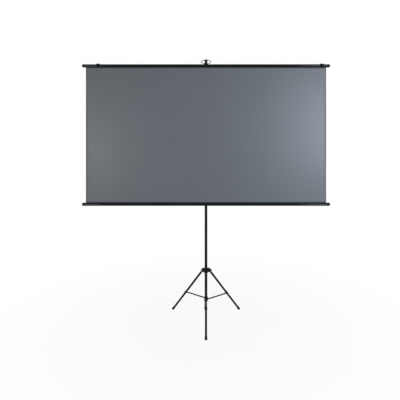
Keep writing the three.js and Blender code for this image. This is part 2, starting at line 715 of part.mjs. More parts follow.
// Bracket: a bent strap that wraps the bar, with an eye for the ring's lower run

function bracket() {
  const inside = RING_WIRE / 2 + CLEARANCE;
  const outside = inside + BRACKET_SHEET;
  const foot = BAR_OD / 2 + CLEARANCE;
  const eyeZ = ringLowZ - topBarZ;
  const eye = new THREE.Shape();
  eye.moveTo(outside, foot);
  eye.lineTo(outside, eyeZ);
  eye.absarc(0, eyeZ, outside, 0, Math.PI);
  eye.lineTo(-outside, foot);
  eye.lineTo(-inside, foot);
  eye.lineTo(-inside, eyeZ);
  eye.absarc(0, eyeZ, inside, Math.PI, 0, true);
  eye.lineTo(inside, foot);
  const wrap = band(foot, foot + BRACKET_SHEET, 90 - BRACKET_WRAP / 2, 90 + BRACKET_WRAP / 2);
  const barBed = alongX(rod(2 * foot, -BRACKET_FOOT_WIDTH, BRACKET_FOOT_WIDTH, ROUND));
  return cut(join(bar(eye, BRACKET_EYE_WIDTH), bar(wrap, BRACKET_FOOT_WIDTH, BAR_ARC_STEPS)), barBed);
}

// Screen: slit bars, caps, fabric with a hem rod at each end, and tie straps

function slitBar(slitAngle) {
  const half = THREE.MathUtils.radToDeg(Math.asin(BAR_SLIT / BAR_OD));
  const section = band(barBore, BAR_OD / 2, slitAngle + half, slitAngle + 360 - half);
  return bar(section, barLength, BAR_ARC_STEPS);
}

function barCap() {
  const spigot = barBore - CLEARANCE;
  const hollow = spigot - CAP_SPIGOT_WALL;
  const rim = CAP_OD / 2;
  const dome = new THREE.Path();
  dome.moveTo(rim, CAP_RIM);
  dome.absellipse(0, CAP_RIM, rim, CAP_LENGTH - CAP_RIM, 0, Math.PI / 2);
  const domePoints = dome.getPoints(CAP_DOME_STEPS).map((point) => [Math.max(point.x, 0), point.y]);
  return alongX(turned([
    [0, CAP_RIM],
    [hollow, CAP_RIM],
    [hollow, -CAP_SPIGOT],
    [spigot, -CAP_SPIGOT],
    [spigot, CLEARANCE],
    [rim, CLEARANCE],
    ...domePoints,
  ], ROUND));
}

// The fabric's cut edge, seen from the side: a thin sheet that ends in a closed loop round each rod
function fabricShape() {
  const half = FABRIC_THICKNESS / 2;
  const dip = Math.asin(half / hemRadius);
  const topHem = topBarZ - hemOffset;
  const bottomHem = bottomBarZ + hemOffset;
  const shape = new THREE.Shape();
  shape.absarc(0, topHem, hemRadius, dip - Math.PI / 2, 1.5 * Math.PI - dip);
  shape.absarc(0, bottomHem, hemRadius, Math.PI / 2 + dip, 2.5 * Math.PI - dip);
  shape.holes.push(circle(hemBore, 0, topHem), circle(hemBore, 0, bottomHem));
  return shape;
}

function strap() {
  const inside = BAR_OD / 2 + CLEARANCE;
  const outside = inside + STRAP_THICKNESS;
  const from = STRAP_GAP_ARC / 2 - 90;
  const wrap = band(inside, outside, from, 180 - from);
  const pad = band(
    outside - STRAP_THICKNESS / 2,
    outside + STRAP_OVERLAP,
    90 - STRAP_OVERLAP_ARC / 2,
    90 + STRAP_OVERLAP_ARC / 2,
  );
  return join(bar(wrap, STRAP_WIDTH, BAR_ARC_STEPS), bar(pad, STRAP_WIDTH));
}

function capPair(prefix) {
  const right = piece(`${prefix}_cap_right`, barCap(), materials.plastic);
  const left = piece(`${prefix}_cap_left`, barCap(), materials.plastic);
  right.position.x = barLength / 2;
  left.position.x = -barLength / 2;
  left.rotation.z = Math.PI;
  return [right, left];
}

function screen() {
  const hemRod = () => alongX(rod(HEM_ROD_OD, -PICTURE_WIDTH / 2, PICTURE_WIDTH / 2));
  const topRod = hemRod().translate(0, 0, topBarZ - hemOffset);
  const bottomRod = hemRod().translate(0, 0, bottomBarZ + hemOffset);
  const straps = {
    left: STRAP_LEFT_INSET - PICTURE_WIDTH / 2,
    right: PICTURE_WIDTH / 2 - STRAP_RIGHT_INSET,
  };
  const tieStraps = Object.entries(straps).map(([side, x]) => {
    return piece(`tie_strap_${side}`, strap().translate(x, 0, 0), materials.strap);
  });
  const topBar = placed(
    [0, 0, topBarZ],
    piece('top_bar', slitBar(-90), materials.anodised),
    piece('hanging_bracket', bracket(), materials.powderCoat),
    ...capPair('top_bar'),
    ...tieStraps,
  );
  const bottomBar = placed(
    [0, 0, bottomBarZ],
    piece('bottom_bar', slitBar(90), materials.anodised),
    ...capPair('bottom_bar'),
  );
  return placed(
    [0, -SCREEN_STANDOFF, 0],
    topBar,
    bottomBar,
    piece('screen_fabric', bar(fabricShape(), PICTURE_WIDTH), materials.fabric),
    piece('top_hem_rod', topRod, materials.nylon),
    piece('bottom_hem_rod', bottomRod, materials.nylon),
    piece('hanging_ring', ring(), materials.powderCoat),
  );
}

// The whole object, moved so that its origin is on the floor at the middle of its footprint

const object = placed(
  [0, 0, 0],
  ...poles(),
  piece('spider', spider(), materials.plastic),
  clamp('lower_clamp', OUTER_POLE_OD, MIDDLE_POLE_OD, outerTop),
  clamp('upper_clamp', MIDDLE_POLE_OD, TOP_POLE_OD, middleTop),
  legCollar(),
  ...Object.entries(LEG_AZIMUTHS).map(legSide),
  piece('hook_head', hookHead(), materials.plastic),
  piece('hook_screw', hookScrew(), materials.zinc),
  screen(),
);
const extent = new THREE.Box3().setFromObject(object, true);
object.position.y = -(extent.min.y + extent.max.y) / 2;

export default object;
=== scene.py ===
import json
import math

import bmesh
import bpy
from mathutils import Matrix, Vector


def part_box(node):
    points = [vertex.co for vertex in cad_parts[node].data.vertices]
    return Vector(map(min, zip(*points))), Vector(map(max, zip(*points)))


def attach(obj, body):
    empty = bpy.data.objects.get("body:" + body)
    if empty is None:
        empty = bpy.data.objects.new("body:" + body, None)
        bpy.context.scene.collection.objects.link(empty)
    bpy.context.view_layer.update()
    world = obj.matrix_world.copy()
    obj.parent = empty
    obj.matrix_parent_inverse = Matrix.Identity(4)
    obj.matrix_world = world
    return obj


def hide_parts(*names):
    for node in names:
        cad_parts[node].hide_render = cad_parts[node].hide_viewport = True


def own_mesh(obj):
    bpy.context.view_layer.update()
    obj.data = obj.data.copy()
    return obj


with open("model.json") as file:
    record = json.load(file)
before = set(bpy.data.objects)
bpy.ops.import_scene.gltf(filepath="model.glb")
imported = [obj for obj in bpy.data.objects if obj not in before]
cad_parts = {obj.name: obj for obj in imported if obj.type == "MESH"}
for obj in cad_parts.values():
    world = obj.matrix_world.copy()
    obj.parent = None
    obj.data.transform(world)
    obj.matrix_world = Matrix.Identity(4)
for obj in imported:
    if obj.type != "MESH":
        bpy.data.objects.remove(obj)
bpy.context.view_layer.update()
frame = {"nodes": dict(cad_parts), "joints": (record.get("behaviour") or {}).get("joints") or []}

# Camera: level, aimed straight at the cloth from about three and a half metres. The view is shifted
# down instead of tilted, so that the bars and the pole stay straight.
LENS_MM = 33.9
SENSOR_MM = 36.0
CAMERA_DISTANCE = 3.47
CAMERA_HEIGHT = 1.715
VIEW_SHIFT = (-0.0150, -0.160)

cloth_low, cloth_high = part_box("screen_fabric")
cloth_middle = (cloth_low + cloth_high) / 2

lens = bpy.data.cameras.new("camera")
lens.lens = LENS_MM
lens.sensor_width = SENSOR_MM
lens.shift_x, lens.shift_y = VIEW_SHIFT
camera = bpy.data.objects.new("camera", lens)
camera.location = (0, cloth_middle.y - CAMERA_DISTANCE, CAMERA_HEIGHT)
camera.rotation_euler = (math.pi / 2, 0, 0)
bpy.context.scene.collection.objects.link(camera)
bpy.context.scene.camera = camera
bpy.context.scene.view_settings.view_transform = "Standard"

# Studio: a white floor that fades into a white room, soft panels in front on both sides and one
# behind. The right panel is the strongest, so the cloth brightens to the right.
FLOOR_SIZE = 60.0
SHADOW_NEAR = 0.4
SHADOW_FAR = 2.4
SHADOW_SHARE = 0.07
ROOM_LIGHT = 0.27


def linear(hex_colour):
    """An sRGB hex colour as the linear colour that a shader socket takes."""
    channels = [int(hex_colour[i:i + 2], 16) / 255 for i in (1, 3, 5)]
    return [c / 12.92 if c <= 0.04045 else ((c + 0.055) / 1.055) ** 2.4 for c in channels] + [1.0]


def add(tree, kind, inputs=(), **settings):
    """One node with its settings, each input linked to a socket or set to a value."""
    made = tree.nodes.new("ShaderNode" + kind)
    for name, value in settings.items():
        setattr(made, name, value)
    for key, value in dict(inputs).items():
        if isinstance(value, bpy.types.NodeSocket):
            tree.links.new(value, made.inputs[key])
        else:
            made.inputs[key].default_value = value
    return made


def empty_tree(owner):
    """The owner's node tree, cleared."""
    owner.use_nodes = True
    owner.node_tree.nodes.clear()
    return owner.node_tree


def seen_directly(tree):
    """1 for rays from the camera, in mirrors and through glass, which all see the white room."""
    path = add(tree, "LightPath").outputs
    both = add(tree, "Math", {0: path["Is Camera Ray"], 1: path["Is Glossy Ray"]}, operation="ADD")
    return add(tree, "Math", {0: both.outputs[0], 1: path["Is Transmission Ray"]}, operation="ADD",
               use_clamp=True).outputs[0]


room = bpy.data.worlds.new("white_room")
bpy.context.scene.world = room
tree = empty_tree(room)
brightness = add(tree, "MapRange", {"Value": seen_directly(tree), "To Min": ROOM_LIGHT, "To Max": 1.0})
glow = add(tree, "Background", {"Color": (1, 1, 1, 1), "Strength": brightness.outputs["Result"]})
add(tree, "OutputWorld", {"Surface": glow.outputs["Background"]})

floor_paint = bpy.data.materials.new("white_floor")
tree = empty_tree(floor_paint)
spot = add(tree, "TexCoord").outputs["Object"]
away = add(tree, "VectorMath", {0: spot}, operation="LENGTH").outputs["Value"]
shaded = add(tree, "MapRange", {"Value": away, "From Min": SHADOW_NEAR, "From Max": SHADOW_FAR,
                                "To Min": 1 - SHADOW_SHARE, "To Max": 1.0}, interpolation_type="SMOOTHSTEP")
share = add(tree, "Math", {0: shaded.outputs["Result"], 1: seen_directly(tree)}, operation="MULTIPLY")
paint = add(tree, "BsdfDiffuse", {"Color": linear("#d6d6d6")})
white = add(tree, "Emission", {"Color": (1, 1, 1, 1), "Strength": 1.0})
mixed = add(tree, "MixShader", {0: share.outputs[0], 1: paint.outputs[0], 2: white.outputs[0]})
add(tree, "OutputMaterial", {"Surface": mixed.outputs[0]})

bm = bmesh.new()
bmesh.ops.create_grid(bm, x_segments=1, y_segments=1, size=FLOOR_SIZE / 2)
floor_mesh = bpy.data.meshes.new("floor")
bm.to_mesh(floor_mesh)
bm.free()
floor_mesh.materials.append(floor_paint)
floor = bpy.data.objects.new("floor", floor_mesh)
bpy.context.scene.collection.objects.link(floor)


def panel(name, place, aim, size, watts, tint):
    """A soft light panel, unseen by the camera, turned from its place to its aim."""
    light = bpy.data.lights.new(name, "AREA")
    light.shape = "RECTANGLE"
    light.size, light.size_y = size
    light.energy = watts
    light.color = linear(tint)[:3]
    lamp = bpy.data.objects.new(name, light)
    lamp.location = place
    lamp.rotation_euler = (Vector(aim) - Vector(place)).to_track_quat("-Z", "Y").to_euler()
    lamp.visible_camera = False
    bpy.context.scene.collection.objects.link(lamp)


panel("right_panel", (2.0, -2.6, 1.85), (0.7, 0, 1.8), (0.8, 1.4), 55, "#e8f1ff")
panel("left_panel", (-1.9, -2.6, 1.5), (-0.9, 0, 1.9), (0.25, 0.9), 15, "#ffffff")
panel("rear_panel", (-1.5, 3.2, 3.2), (0, 0, 1.2), (2.5, 1.5), 30, "#ffffff")

# Pole: three tubes that slide in each other, drawn steel with a satin black powder coat. The lower
# ends of the two inner tubes carry natural nylon glides, which keep them centred in the tube below.
MM = 0.001
POLE_SIDES = 64
TUBE_WALL = 1.2 * MM
TUBE_EDGE = 0.35 * MM
WELD = 0.002 * MM
CRISP_ANGLE = math.radians(38)

pole_low, pole_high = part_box("outer_pole")
pole_y = (pole_low.y + pole_high.y) / 2
pole_radius = (pole_high.x - pole_low.x) / 2

powder_coat = bpy.data.materials.new("satin_black_powder_coat")
# Powder coat flows into a skin of shallow bumps about a millimetre apart, which breaks up its sheen.
tree = empty_tree(powder_coat)
spot = add(tree, "TexCoord").outputs["Object"]
peel = add(tree, "TexNoise", {"Vector": spot, "Scale": 1 / (1.4 * MM), "Detail": 2.0}).outputs[0]
cloud = add(tree, "TexNoise", {"Vector": spot, "Scale": 1 / (55 * MM), "Detail": 4.0}).outputs[0]
tone = add(tree, "Mix", {0: cloud, 6: linear("#060607"), 7: linear("#0b0c0d")}, data_type="RGBA").outputs[2]
gloss = add(tree, "MapRange", {"Value": cloud, "To Min": 0.48, "To Max": 0.62}).outputs[0]
relief = add(tree, "Bump", {"Strength": 0.12, "Distance": 0.12 * MM, "Height": peel}).outputs[0]
skin = add(tree, "BsdfPrincipled", {"Base Color": tone, "Roughness": gloss, "Normal": relief,
                                    "Specular IOR Level": 0.12})
add(tree, "OutputMaterial", {"Surface": skin.outputs[0]})

natural_nylon = bpy.data.materials.new("natural_nylon")
# Unpigmented nylon is milky and a little waxy, with faint flow clouds from the mould.
tree = empty_tree(natural_nylon)
spot = add(tree, "TexCoord").outputs["Object"]
flow = add(tree, "TexNoise", {"Vector": spot, "Scale": 1 / (9 * MM), "Detail": 3.0}).outputs[0]
tone = add(tree, "Mix", {0: flow, 6: linear("#d2cfc4"), 7: linear("#e2dfd6")}, data_type="RGBA").outputs[2]
gloss = add(tree, "MapRange", {"Value": flow, "To Min": 0.42, "To Max": 0.56}).outputs[0]
skin = add(tree, "BsdfPrincipled", {"Base Color": tone, "Roughness": gloss, "IOR": 1.53})
add(tree, "OutputMaterial", {"Surface": skin.outputs[0]})


def turned(profile, sides, rounding=0.0, closed=True):
    """A turned form about Z, from (radius, height) points whose corners off the axis are rounded."""
    bm = bmesh.new()
    line = [bm.verts.new((radius, 0, height)) for radius, height in profile]
    for a, b in zip(line, line[1:]):
        bm.edges.new((a, b))
    if closed:
        bm.edges.new((line[-1], line[0]))
    if rounding:
        corners = [v for v in line if v.co.x > rounding and len(v.link_edges) == 2]
        bmesh.ops.bevel(bm, geom=corners, offset=rounding, segments=3, profile=0.5, affect="VERTICES",
                        material=-1, clamp_overlap=True)
    bmesh.ops.spin(bm, geom=bm.verts[:] + bm.edges[:], cent=(0, 0, 0), axis=(0, 0, 1),
                   angle=2 * math.pi, steps=sides, use_merge=True)
    bmesh.ops.remove_doubles(bm, verts=bm.verts[:], dist=WELD)
    bmesh.ops.recalc_face_normals(bm, faces=bm.faces[:])
    return bm


def moved(bm, *steps):
    """The form moved by the steps, the last of them first."""
    whole = Matrix.Identity(4)
    for step in steps:
        whole = whole @ step
    bmesh.ops.transform(bm, matrix=whole, verts=bm.verts[:])
    return bm


def piece(name, bm, material, body, slot, *nodes, rigid=True):
    """The finished object, smooth with crisp edges, riding on its body in place of its nodes."""
    mesh = bpy.data.meshes.new(name)
    bm.to_mesh(mesh)
    bm.free()
    mesh.materials.append(material)
    mesh.shade_smooth()
    mesh.set_sharp_from_angle(angle=CRISP_ANGLE)
    made = bpy.data.objects.new(name, mesh)
    bpy.context.scene.collection.objects.link(made)
    if rigid:
        # Long faces keep their own direction, so that only the rounded edges turn the light.
        evened = made.modifiers.new("evened_shading", "WEIGHTED_NORMAL")
        evened.keep_sharp = True
    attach(made, body)
    if nodes:
        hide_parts(*nodes)
    return made


def coated(material, *nodes):
    """Gives the CAD nodes, which stay as they are, their finish."""
    for node in nodes:
        frame["nodes"][node].material_slots[0].material = material


def tube(bore, radius, low, high, sides=POLE_SIDES, edge=TUBE_EDGE):
    """A tube along Z with broken edges at its ends."""
    return turned([(bore, low), (radius, low), (radius, high), (bore, high)], sides, edge)


pole_bodies = {"outer_pole": "stand_base", "middle_pole": "middle_pole", "top_pole": "top_pole"}
for node, body in pole_bodies.items():
    low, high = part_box(node)
    radius = (high.x - low.x) / 2
    form = tube(radius - TUBE_WALL, radius, low.z, high.z)
    form = moved(form, Matrix.Translation((0, pole_y, 0)))
    piece(f"{node}_tube", form, powder_coat, body, "powder_coat", node)
coated(natural_nylon, "middle_pole_glide", "top_pole_glide")

# Spider: a cup moulded in black glass-filled nylon and pushed on the pole's foot. An ear beside each
# brace takes the rivet on which the brace turns.
FIT = 0.3 * MM
# The radius of a full round end stops short of the half width, so that its two corners don't meet.
FULL_ROUND = 0.98
LEG_AZIMUTHS = {"front": -90, "right": 30, "left": 150}
SPIDER_SIDES = 72
SPIDER_EAR = 7 * MM
SPIDER_EAR_WIDTH = 6.5 * MM
SPIDER_EAR_FACE = 12 * MM
SPIDER_WALL = 4 * MM
SPIDER_FLOOR = 5 * MM
SPIDER_CHAMFER = 1.5 * MM
SPIDER_EDGE = 0.7 * MM

black_nylon = bpy.data.materials.new("black_glass_filled_nylon")
# The mould is spark-eroded, so the plastic has a fine even grain and a soft, broken sheen.
tree = empty_tree(black_nylon)
spot = add(tree, "TexCoord").outputs["Object"]
grain = add(tree, "TexVoronoi", {"Vector": spot, "Scale": 1 / (0.8 * MM)}).outputs["Distance"]
flow = add(tree, "TexNoise", {"Vector": spot, "Scale": 1 / (14 * MM), "Detail": 5.0}).outputs[0]
tone = add(tree, "Mix", {0: flow, 6: linear("#0b0c0d"), 7: linear("#141517")}, data_type="RGBA").outputs[2]
gloss = add(tree, "MapRange", {"Value": flow, "To Min": 0.5, "To Max": 0.66}).outputs[0]
relief = add(tree, "Bump", {"Strength": 0.18, "Distance": 0.1 * MM, "Height": grain}).outputs[0]
skin = add(tree, "BsdfPrincipled", {"Base Color": tone, "Roughness": gloss, "Normal": relief,
                                    "Specular IOR Level": 0.2})
add(tree, "OutputMaterial", {"Surface": skin.outputs[0]})


def rod(radius, low, high, sides=POLE_SIDES, edge=0.0):
    """A solid round bar along Z."""
    return turned([(0, low), (radius, low), (radius, high), (0, high)], sides, edge, closed=False)


def extruded(bm, step):
    """The flat form grown by a step into a solid."""
    grown = bmesh.ops.extrude_face_region(bm, geom=bm.faces[:])["geom"]
    far = [v for v in grown if isinstance(v, bmesh.types.BMVert)]
    bmesh.ops.translate(bm, vec=step, verts=far)
    bmesh.ops.recalc_face_normals(bm, faces=bm.faces[:])
    return bm


def pressed(outline, thickness, edge=0.0):
    """A flat form in the XZ plane, centred on Y, from corner points and their radii."""
    bm = bmesh.new()
    corners = [bm.verts.new((x, -thickness / 2, z)) for x, z, _ in outline]
    bm.faces.new(corners)
    for corner, (_, _, radius) in zip(corners, outline):
        if radius:
            bmesh.ops.bevel(bm, geom=[corner], offset=radius, segments=8, profile=0.5, affect="VERTICES",
                            material=-1)
    extruded(bm, (0, thickness, 0))
    if edge:
        rim = [e for e in bm.edges if abs(e.verts[0].co.y - e.verts[1].co.y) < thickness / 2]
        bmesh.ops.bevel(bm, geom=rim, offset=edge, segments=2, profile=0.5, affect="EDGES", material=-1)
    return bm


def cuboid(low, high):
    """A block between two corners, used as a cutter."""
    bm = bmesh.new()
    bmesh.ops.create_cube(bm, size=1.0)
    low, high = Vector(low), Vector(high)
    return moved(bm, Matrix.Translation((low + high) / 2), Matrix.Diagonal((*(high - low), 1)))


def combined(operation, first, *others):
    """The first form joined to the others, or cut by them."""
    shells = []
    for form in (first, *others):
        mesh = bpy.data.meshes.new("shell")
        form.to_mesh(mesh)
        form.free()
        shells.append(bpy.data.objects.new("shell", mesh))
        bpy.context.scene.collection.objects.link(shells[-1])
    for shell in shells[1:]:
        step = shells[0].modifiers.new("step", "BOOLEAN")
        step.operation = operation
        step.solver = "EXACT"
        step.object = shell
    bm = bmesh.new()
    bm.from_object(shells[0], bpy.context.evaluated_depsgraph_get())
    for shell in shells:
        mesh = shell.data
        bpy.data.objects.remove(shell)
        bpy.data.meshes.remove(mesh)
    bmesh.ops.remove_doubles(bm, verts=bm.verts[:], dist=WELD)
    return bm


def round_pole(azimuth):
    """The turn that brings a form drawn along +X to its azimuth round the pole's axis."""
    return Matrix.Translation((0, pole_y, 0)) @ Matrix.Rotation(math.radians(azimuth), 4, "Z")


def spider_ear():
    """An ear along +X with a round end, its face on the side of the brace."""
    tip = spider_pivot + SPIDER_EAR
    corner = SPIDER_EAR * FULL_ROUND
    outline = [(0, -SPIDER_EAR, 0), (tip, -SPIDER_EAR, corner), (tip, SPIDER_EAR, corner),
               (0, SPIDER_EAR, 0)]
    middle = SPIDER_EAR_WIDTH / 2 - SPIDER_EAR_FACE
    return moved(pressed(outline, SPIDER_EAR_WIDTH, SPIDER_EDGE), Matrix.Translation((0, middle, 0)))


spider_low, spider_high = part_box("spider")
joints = {joint["name"]: joint for joint in frame["joints"]}
_, pivot_y, spider_z = joints["brace_fold_front"]["pos_m"]
spider_pivot = pole_y - pivot_y
spider_bore = pole_radius + FIT
spider_radius = spider_bore + SPIDER_WALL
cup_floor = spider_low.z + SPIDER_FLOOR
cup = turned([
    (0, spider_low.z), (spider_radius - SPIDER_CHAMFER, spider_low.z),
    (spider_radius, spider_low.z + SPIDER_CHAMFER), (spider_radius, spider_high.z),
    (spider_bore, spider_high.z), (spider_bore, cup_floor), (0, cup_floor),
], SPIDER_SIDES, SPIDER_EDGE, closed=False)
ears = [moved(spider_ear(), Matrix.Translation((0, 0, spider_z)),
              Matrix.Rotation(math.radians(azimuth), 4, "Z")) for azimuth in LEG_AZIMUTHS.values()]
bore = rod(spider_bore, cup_floor, spider_high.z + SPIDER_FLOOR, SPIDER_SIDES)
form = combined("DIFFERENCE", combined("UNION", cup, *ears), bore)
form = moved(form, Matrix.Translation((0, pole_y, 0)))
piece("spider_moulding", form, black_nylon, "stand_base", "moulded_plastic", "spider")

# Braces: single strips of pressed steel, powder-coated, with a bead along the middle for stiffness.
# Each lies beside its leg, riveted to the spider's ear and to the pad of the leg's clip.
CLIP_DISTANCE = 309 * MM
BRACE_HALF_DEPTH = 6 * MM
BRACE_SHEET = 2.5 * MM
BRACE_NEAR_FACE = 12.3 * MM
BRACE_EDGE = 0.3 * MM
BEAD_HALF_WIDTH = 2.5 * MM
BEAD_RISE = 0.8 * MM
BEAD_EDGE = 0.64 * MM
BEAD_INSET = 24 * MM
RIVET_HEAD = 4.5 * MM
RIVET_RISE = 2.2 * MM
BRACE_RIVET_RISE = 1.6 * MM
RIVET_RIM = 0.35
RIVET_SHOULDER = 0.82
RIVET_CROWN = 0.72
RIVET_EDGE = 0.5 * MM
BRACE_PIN = 2.5 * MM
ROUND_SIDES = 32

zinc_plate = bpy.data.materials.new("bright_zinc_plate")
# Zinc plate is bright with a faint blue cast, slightly clouded and with fine drawing marks.
tree = empty_tree(zinc_plate)
spot = add(tree, "TexCoord").outputs["Object"]
cloud = add(tree, "TexNoise", {"Vector": spot, "Scale": 1 / (4 * MM), "Detail": 4.0}).outputs[0]
tone = add(tree, "Mix", {0: cloud, 6: linear("#9a9ca0"), 7: linear("#c2c5c9")}, data_type="RGBA").outputs[2]
gloss = add(tree, "MapRange", {"Value": cloud, "To Min": 0.22, "To Max": 0.4}).outputs[0]
relief = add(tree, "Bump", {"Strength": 0.06, "Distance": 0.05 * MM, "Height": cloud}).outputs[0]
skin = add(tree, "BsdfPrincipled", {"Base Color": tone, "Metallic": 1.0, "Roughness": gloss,
                                    "Normal": relief})
add(tree, "OutputMaterial", {"Surface": skin.outputs[0]})


def head_line(radius, rise, foot):
    """The profile of a rivet's head on its foot: a low dome, its steps shares of its own size."""
    return [(radius, foot), (radius, foot + RIVET_RIM * rise),
            (RIVET_CROWN * radius, foot + RIVET_SHOULDER * rise), (0, foot + rise)]


_, pivot_y, leg_pivot_z = joints["leg_fold_front"]["pos_m"]
leg_pivot = pole_y - pivot_y
leg_spread = math.radians(joints["leg_fold_front"]["range_deg"][1])
brace_run = leg_pivot + CLIP_DISTANCE * math.sin(leg_spread) - spider_pivot
brace_rise = leg_pivot_z - CLIP_DISTANCE * math.cos(leg_spread) - spider_z
brace_length = math.hypot(brace_run, brace_rise)
brace_tilt = math.atan2(brace_rise, brace_run)
ACROSS = Matrix.Rotation(-math.pi / 2, 4, "X")
ACROSS_BACK = Matrix.Rotation(math.pi / 2, 4, "X")


def round_ended(start, end, half):
    """The outline of a strip along X whose ends are half circles about the start and the end."""
    near, far, corner = start - half, end + half, half * FULL_ROUND
    return [(near, -half, corner), (far, -half, corner), (far, half, corner), (near, half, corner)]


def brace():
    """A brace along +X from its inner pivot, with the bead and the rivet's head on its outer side."""
    strip = pressed(round_ended(0, brace_length, BRACE_HALF_DEPTH), BRACE_SHEET, BRACE_EDGE)
    bead_line = round_ended(BEAD_INSET, brace_length - BEAD_INSET, BEAD_HALF_WIDTH)
    bead = moved(pressed(bead_line, BRACE_SHEET, BEAD_EDGE), Matrix.Translation((0, -BEAD_RISE, 0)))
    seat = BRACE_SHEET / 4
    line = [(0, seat)] + head_line(RIVET_HEAD, BRACE_RIVET_RISE + BRACE_SHEET / 4, seat)
    head = turned(line, ROUND_SIDES, RIVET_EDGE, closed=False)
    head = moved(head, Matrix.Translation((brace_length, 0, 0)), ACROSS_BACK)
    middle = BRACE_NEAR_FACE + BRACE_SHEET / 2
    return moved(combined("UNION", strip, bead, head), Matrix.Translation((0, -middle, 0)))


def headed_pin(radius, head, rise, face):
    """A rivet along Y: a shank with a domed head outside each cheek."""
    line = [(radius, face)] + head_line(head, rise, face)
    mirrored = [(r, -z) for r, z in reversed(line)]
    return moved(turned(mirrored + line, ROUND_SIDES, RIVET_EDGE, closed=False), ACROSS)


gripped = (SPIDER_EAR_WIDTH + BRACE_NEAR_FACE - SPIDER_EAR_FACE + BRACE_SHEET) / 2
pin_offset = SPIDER_EAR_WIDTH - SPIDER_EAR_FACE - gripped
for side, azimuth in LEG_AZIMUTHS.items():
    pivot = round_pole(azimuth) @ Matrix.Translation((spider_pivot, 0, spider_z))
    form = moved(brace(), pivot, Matrix.Rotation(-brace_tilt, 4, "Y"))
    piece(f"brace_strip_{side}", form, powder_coat, f"brace_{side}", "powder_coat", f"brace_{side}")
    pin = headed_pin(BRACE_PIN, RIVET_HEAD, RIVET_RISE, gripped + FIT)
    form = moved(pin, pivot, Matrix.Translation((0, pin_offset, 0)))
    piece(f"brace_rivet_{side}", form, zinc_plate, "stand_base", "zinc_plate", f"brace_pin_{side}")

# Leg collar: a nylon moulding that slides on the outer pole, with a clevis for each leg and a boss
# for the locking knob.
COLLAR_WALL = 6.3 * MM
COLLAR_EDGE = 1.4 * MM
CLEVIS = 10 * MM
CLEVIS_CROWN = 29 * MM
CLEVIS_DIP = 4 * MM
CLEVIS_SHOULDER = 14 * MM
CLEVIS_LEAN = math.radians(20)
CLEVIS_WIDTH = 22 * MM
CLEVIS_SLOT = 11.6 * MM
CLEVIS_SLOT_START = 29.5 * MM
CLEVIS_EDGE = 0.8 * MM
LEG_PIN = 3 * MM
LEG_PIN_HEAD = 5 * MM
BOSS_RADIUS = 8.5 * MM
BOSS_LENGTH = 14 * MM
BOSS_ROOT = 1.5 * MM
BOSS_EDGE = 0.8 * MM
INSERT_RADIUS = 4.5 * MM
COLLAR_KNOB_RISE = 17 * MM
COLLAR_KNOB_AZIMUTH = -30

collar_low, collar_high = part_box("leg_collar")
collar_bore = pole_radius + FIT
collar_radius = pole_radius + COLLAR_WALL


def clevis(outside):
    """A clevis along +X: round about the pivot, with a high rounded shoulder, slotted for the leg."""
    root = outside - COLLAR_WALL / 2
    side_x = leg_pivot + CLEVIS * math.cos(CLEVIS_LEAN)
    side_z = CLEVIS * math.sin(CLEVIS_LEAN)
    toe = side_x + (CLEVIS + side_z) * math.tan(CLEVIS_LEAN)
    shoulder = side_x - (CLEVIS_CROWN - side_z) * math.tan(CLEVIS_LEAN)
    outline = [(root, -CLEVIS, 0), (toe, -CLEVIS, toe - leg_pivot),
               (shoulder, CLEVIS_CROWN, CLEVIS_SHOULDER), (root, CLEVIS_CROWN - CLEVIS_DIP, 0)]
    high = 2 * CLEVIS_CROWN
    slot = cuboid((CLEVIS_SLOT_START, -CLEVIS_SLOT / 2, -high), (2 * toe, CLEVIS_SLOT / 2, high))
    return combined("DIFFERENCE", pressed(outline, CLEVIS_WIDTH, CLEVIS_EDGE), slot)


ALONG_X = Matrix.Rotation(math.pi / 2, 4, "Y")
FACING_BACK = Matrix.Rotation(math.pi / 2, 4, "Z")


def boss(start, end):
    """A round boss along +X with the bore that holds the brass insert."""
    return moved(tube(INSERT_RADIUS + FIT, BOSS_RADIUS, start, end, ROUND_SIDES, BOSS_EDGE), ALONG_X)


sleeve = tube(collar_bore, collar_radius, collar_low.z - leg_pivot_z, collar_high.z - leg_pivot_z,
              SPIDER_SIDES, COLLAR_EDGE)
clevises = [moved(clevis(collar_radius), Matrix.Rotation(math.radians(azimuth), 4, "Z"))
            for azimuth in LEG_AZIMUTHS.values()]
knob_turn = Matrix.Translation((0, 0, COLLAR_KNOB_RISE)) @ Matrix.Rotation(
    math.radians(COLLAR_KNOB_AZIMUTH), 4, "Z")
collar_boss = moved(boss(collar_radius - BOSS_ROOT, collar_radius + BOSS_LENGTH), knob_turn)
form = combined("UNION", sleeve, *clevises, collar_boss)
form = moved(form, Matrix.Translation((0, pole_y, leg_pivot_z)))
piece("leg_collar_moulding", form, black_nylon, "leg_collar", "moulded_plastic", "leg_collar")

# Legs: powder-coated tube with a nylon hinge plug at the top, a nylon clip for the brace, and a
# rubber foot, a cup square to the leg whose lower corner is moulded level with the floor.
LEG_LENGTH = 560 * MM
LEG_RADIUS = 9.5 * MM
LEG_TUBE_START = 20 * MM
TONGUE = 9 * MM
TONGUE_WIDTH = 11 * MM
PLUG_FLANGE = 6 * MM
PLUG_SPIGOT = 26 * MM
PLUG_EDGE = 0.6 * MM
CLIP_HALF = 15 * MM
CLIP_RADIUS = 11.6 * MM
CLIP_BORE = 9.8 * MM
CLIP_PAD = 7.5 * MM
CLIP_FACE = 12 * MM
CLIP_EDGE = 0.8 * MM
CLIP_PAD_EDGE = 0.4 * MM
FOOT_RADIUS = 12 * MM
FOOT_GRIP = 20 * MM
FOOT_CAP = 8 * MM
FOOT_FLAT = 5 * MM
FOOT_ROUNDING = 1.5 * MM
FOOT_EDGE = 0.3 * MM
FOOT_RINGS = 3
FOOT_RING_PITCH = 4.5 * MM
FOOT_RING_DEPTH = 0.6 * MM
FOOT_RING_SLOPE = 0.7 * MM
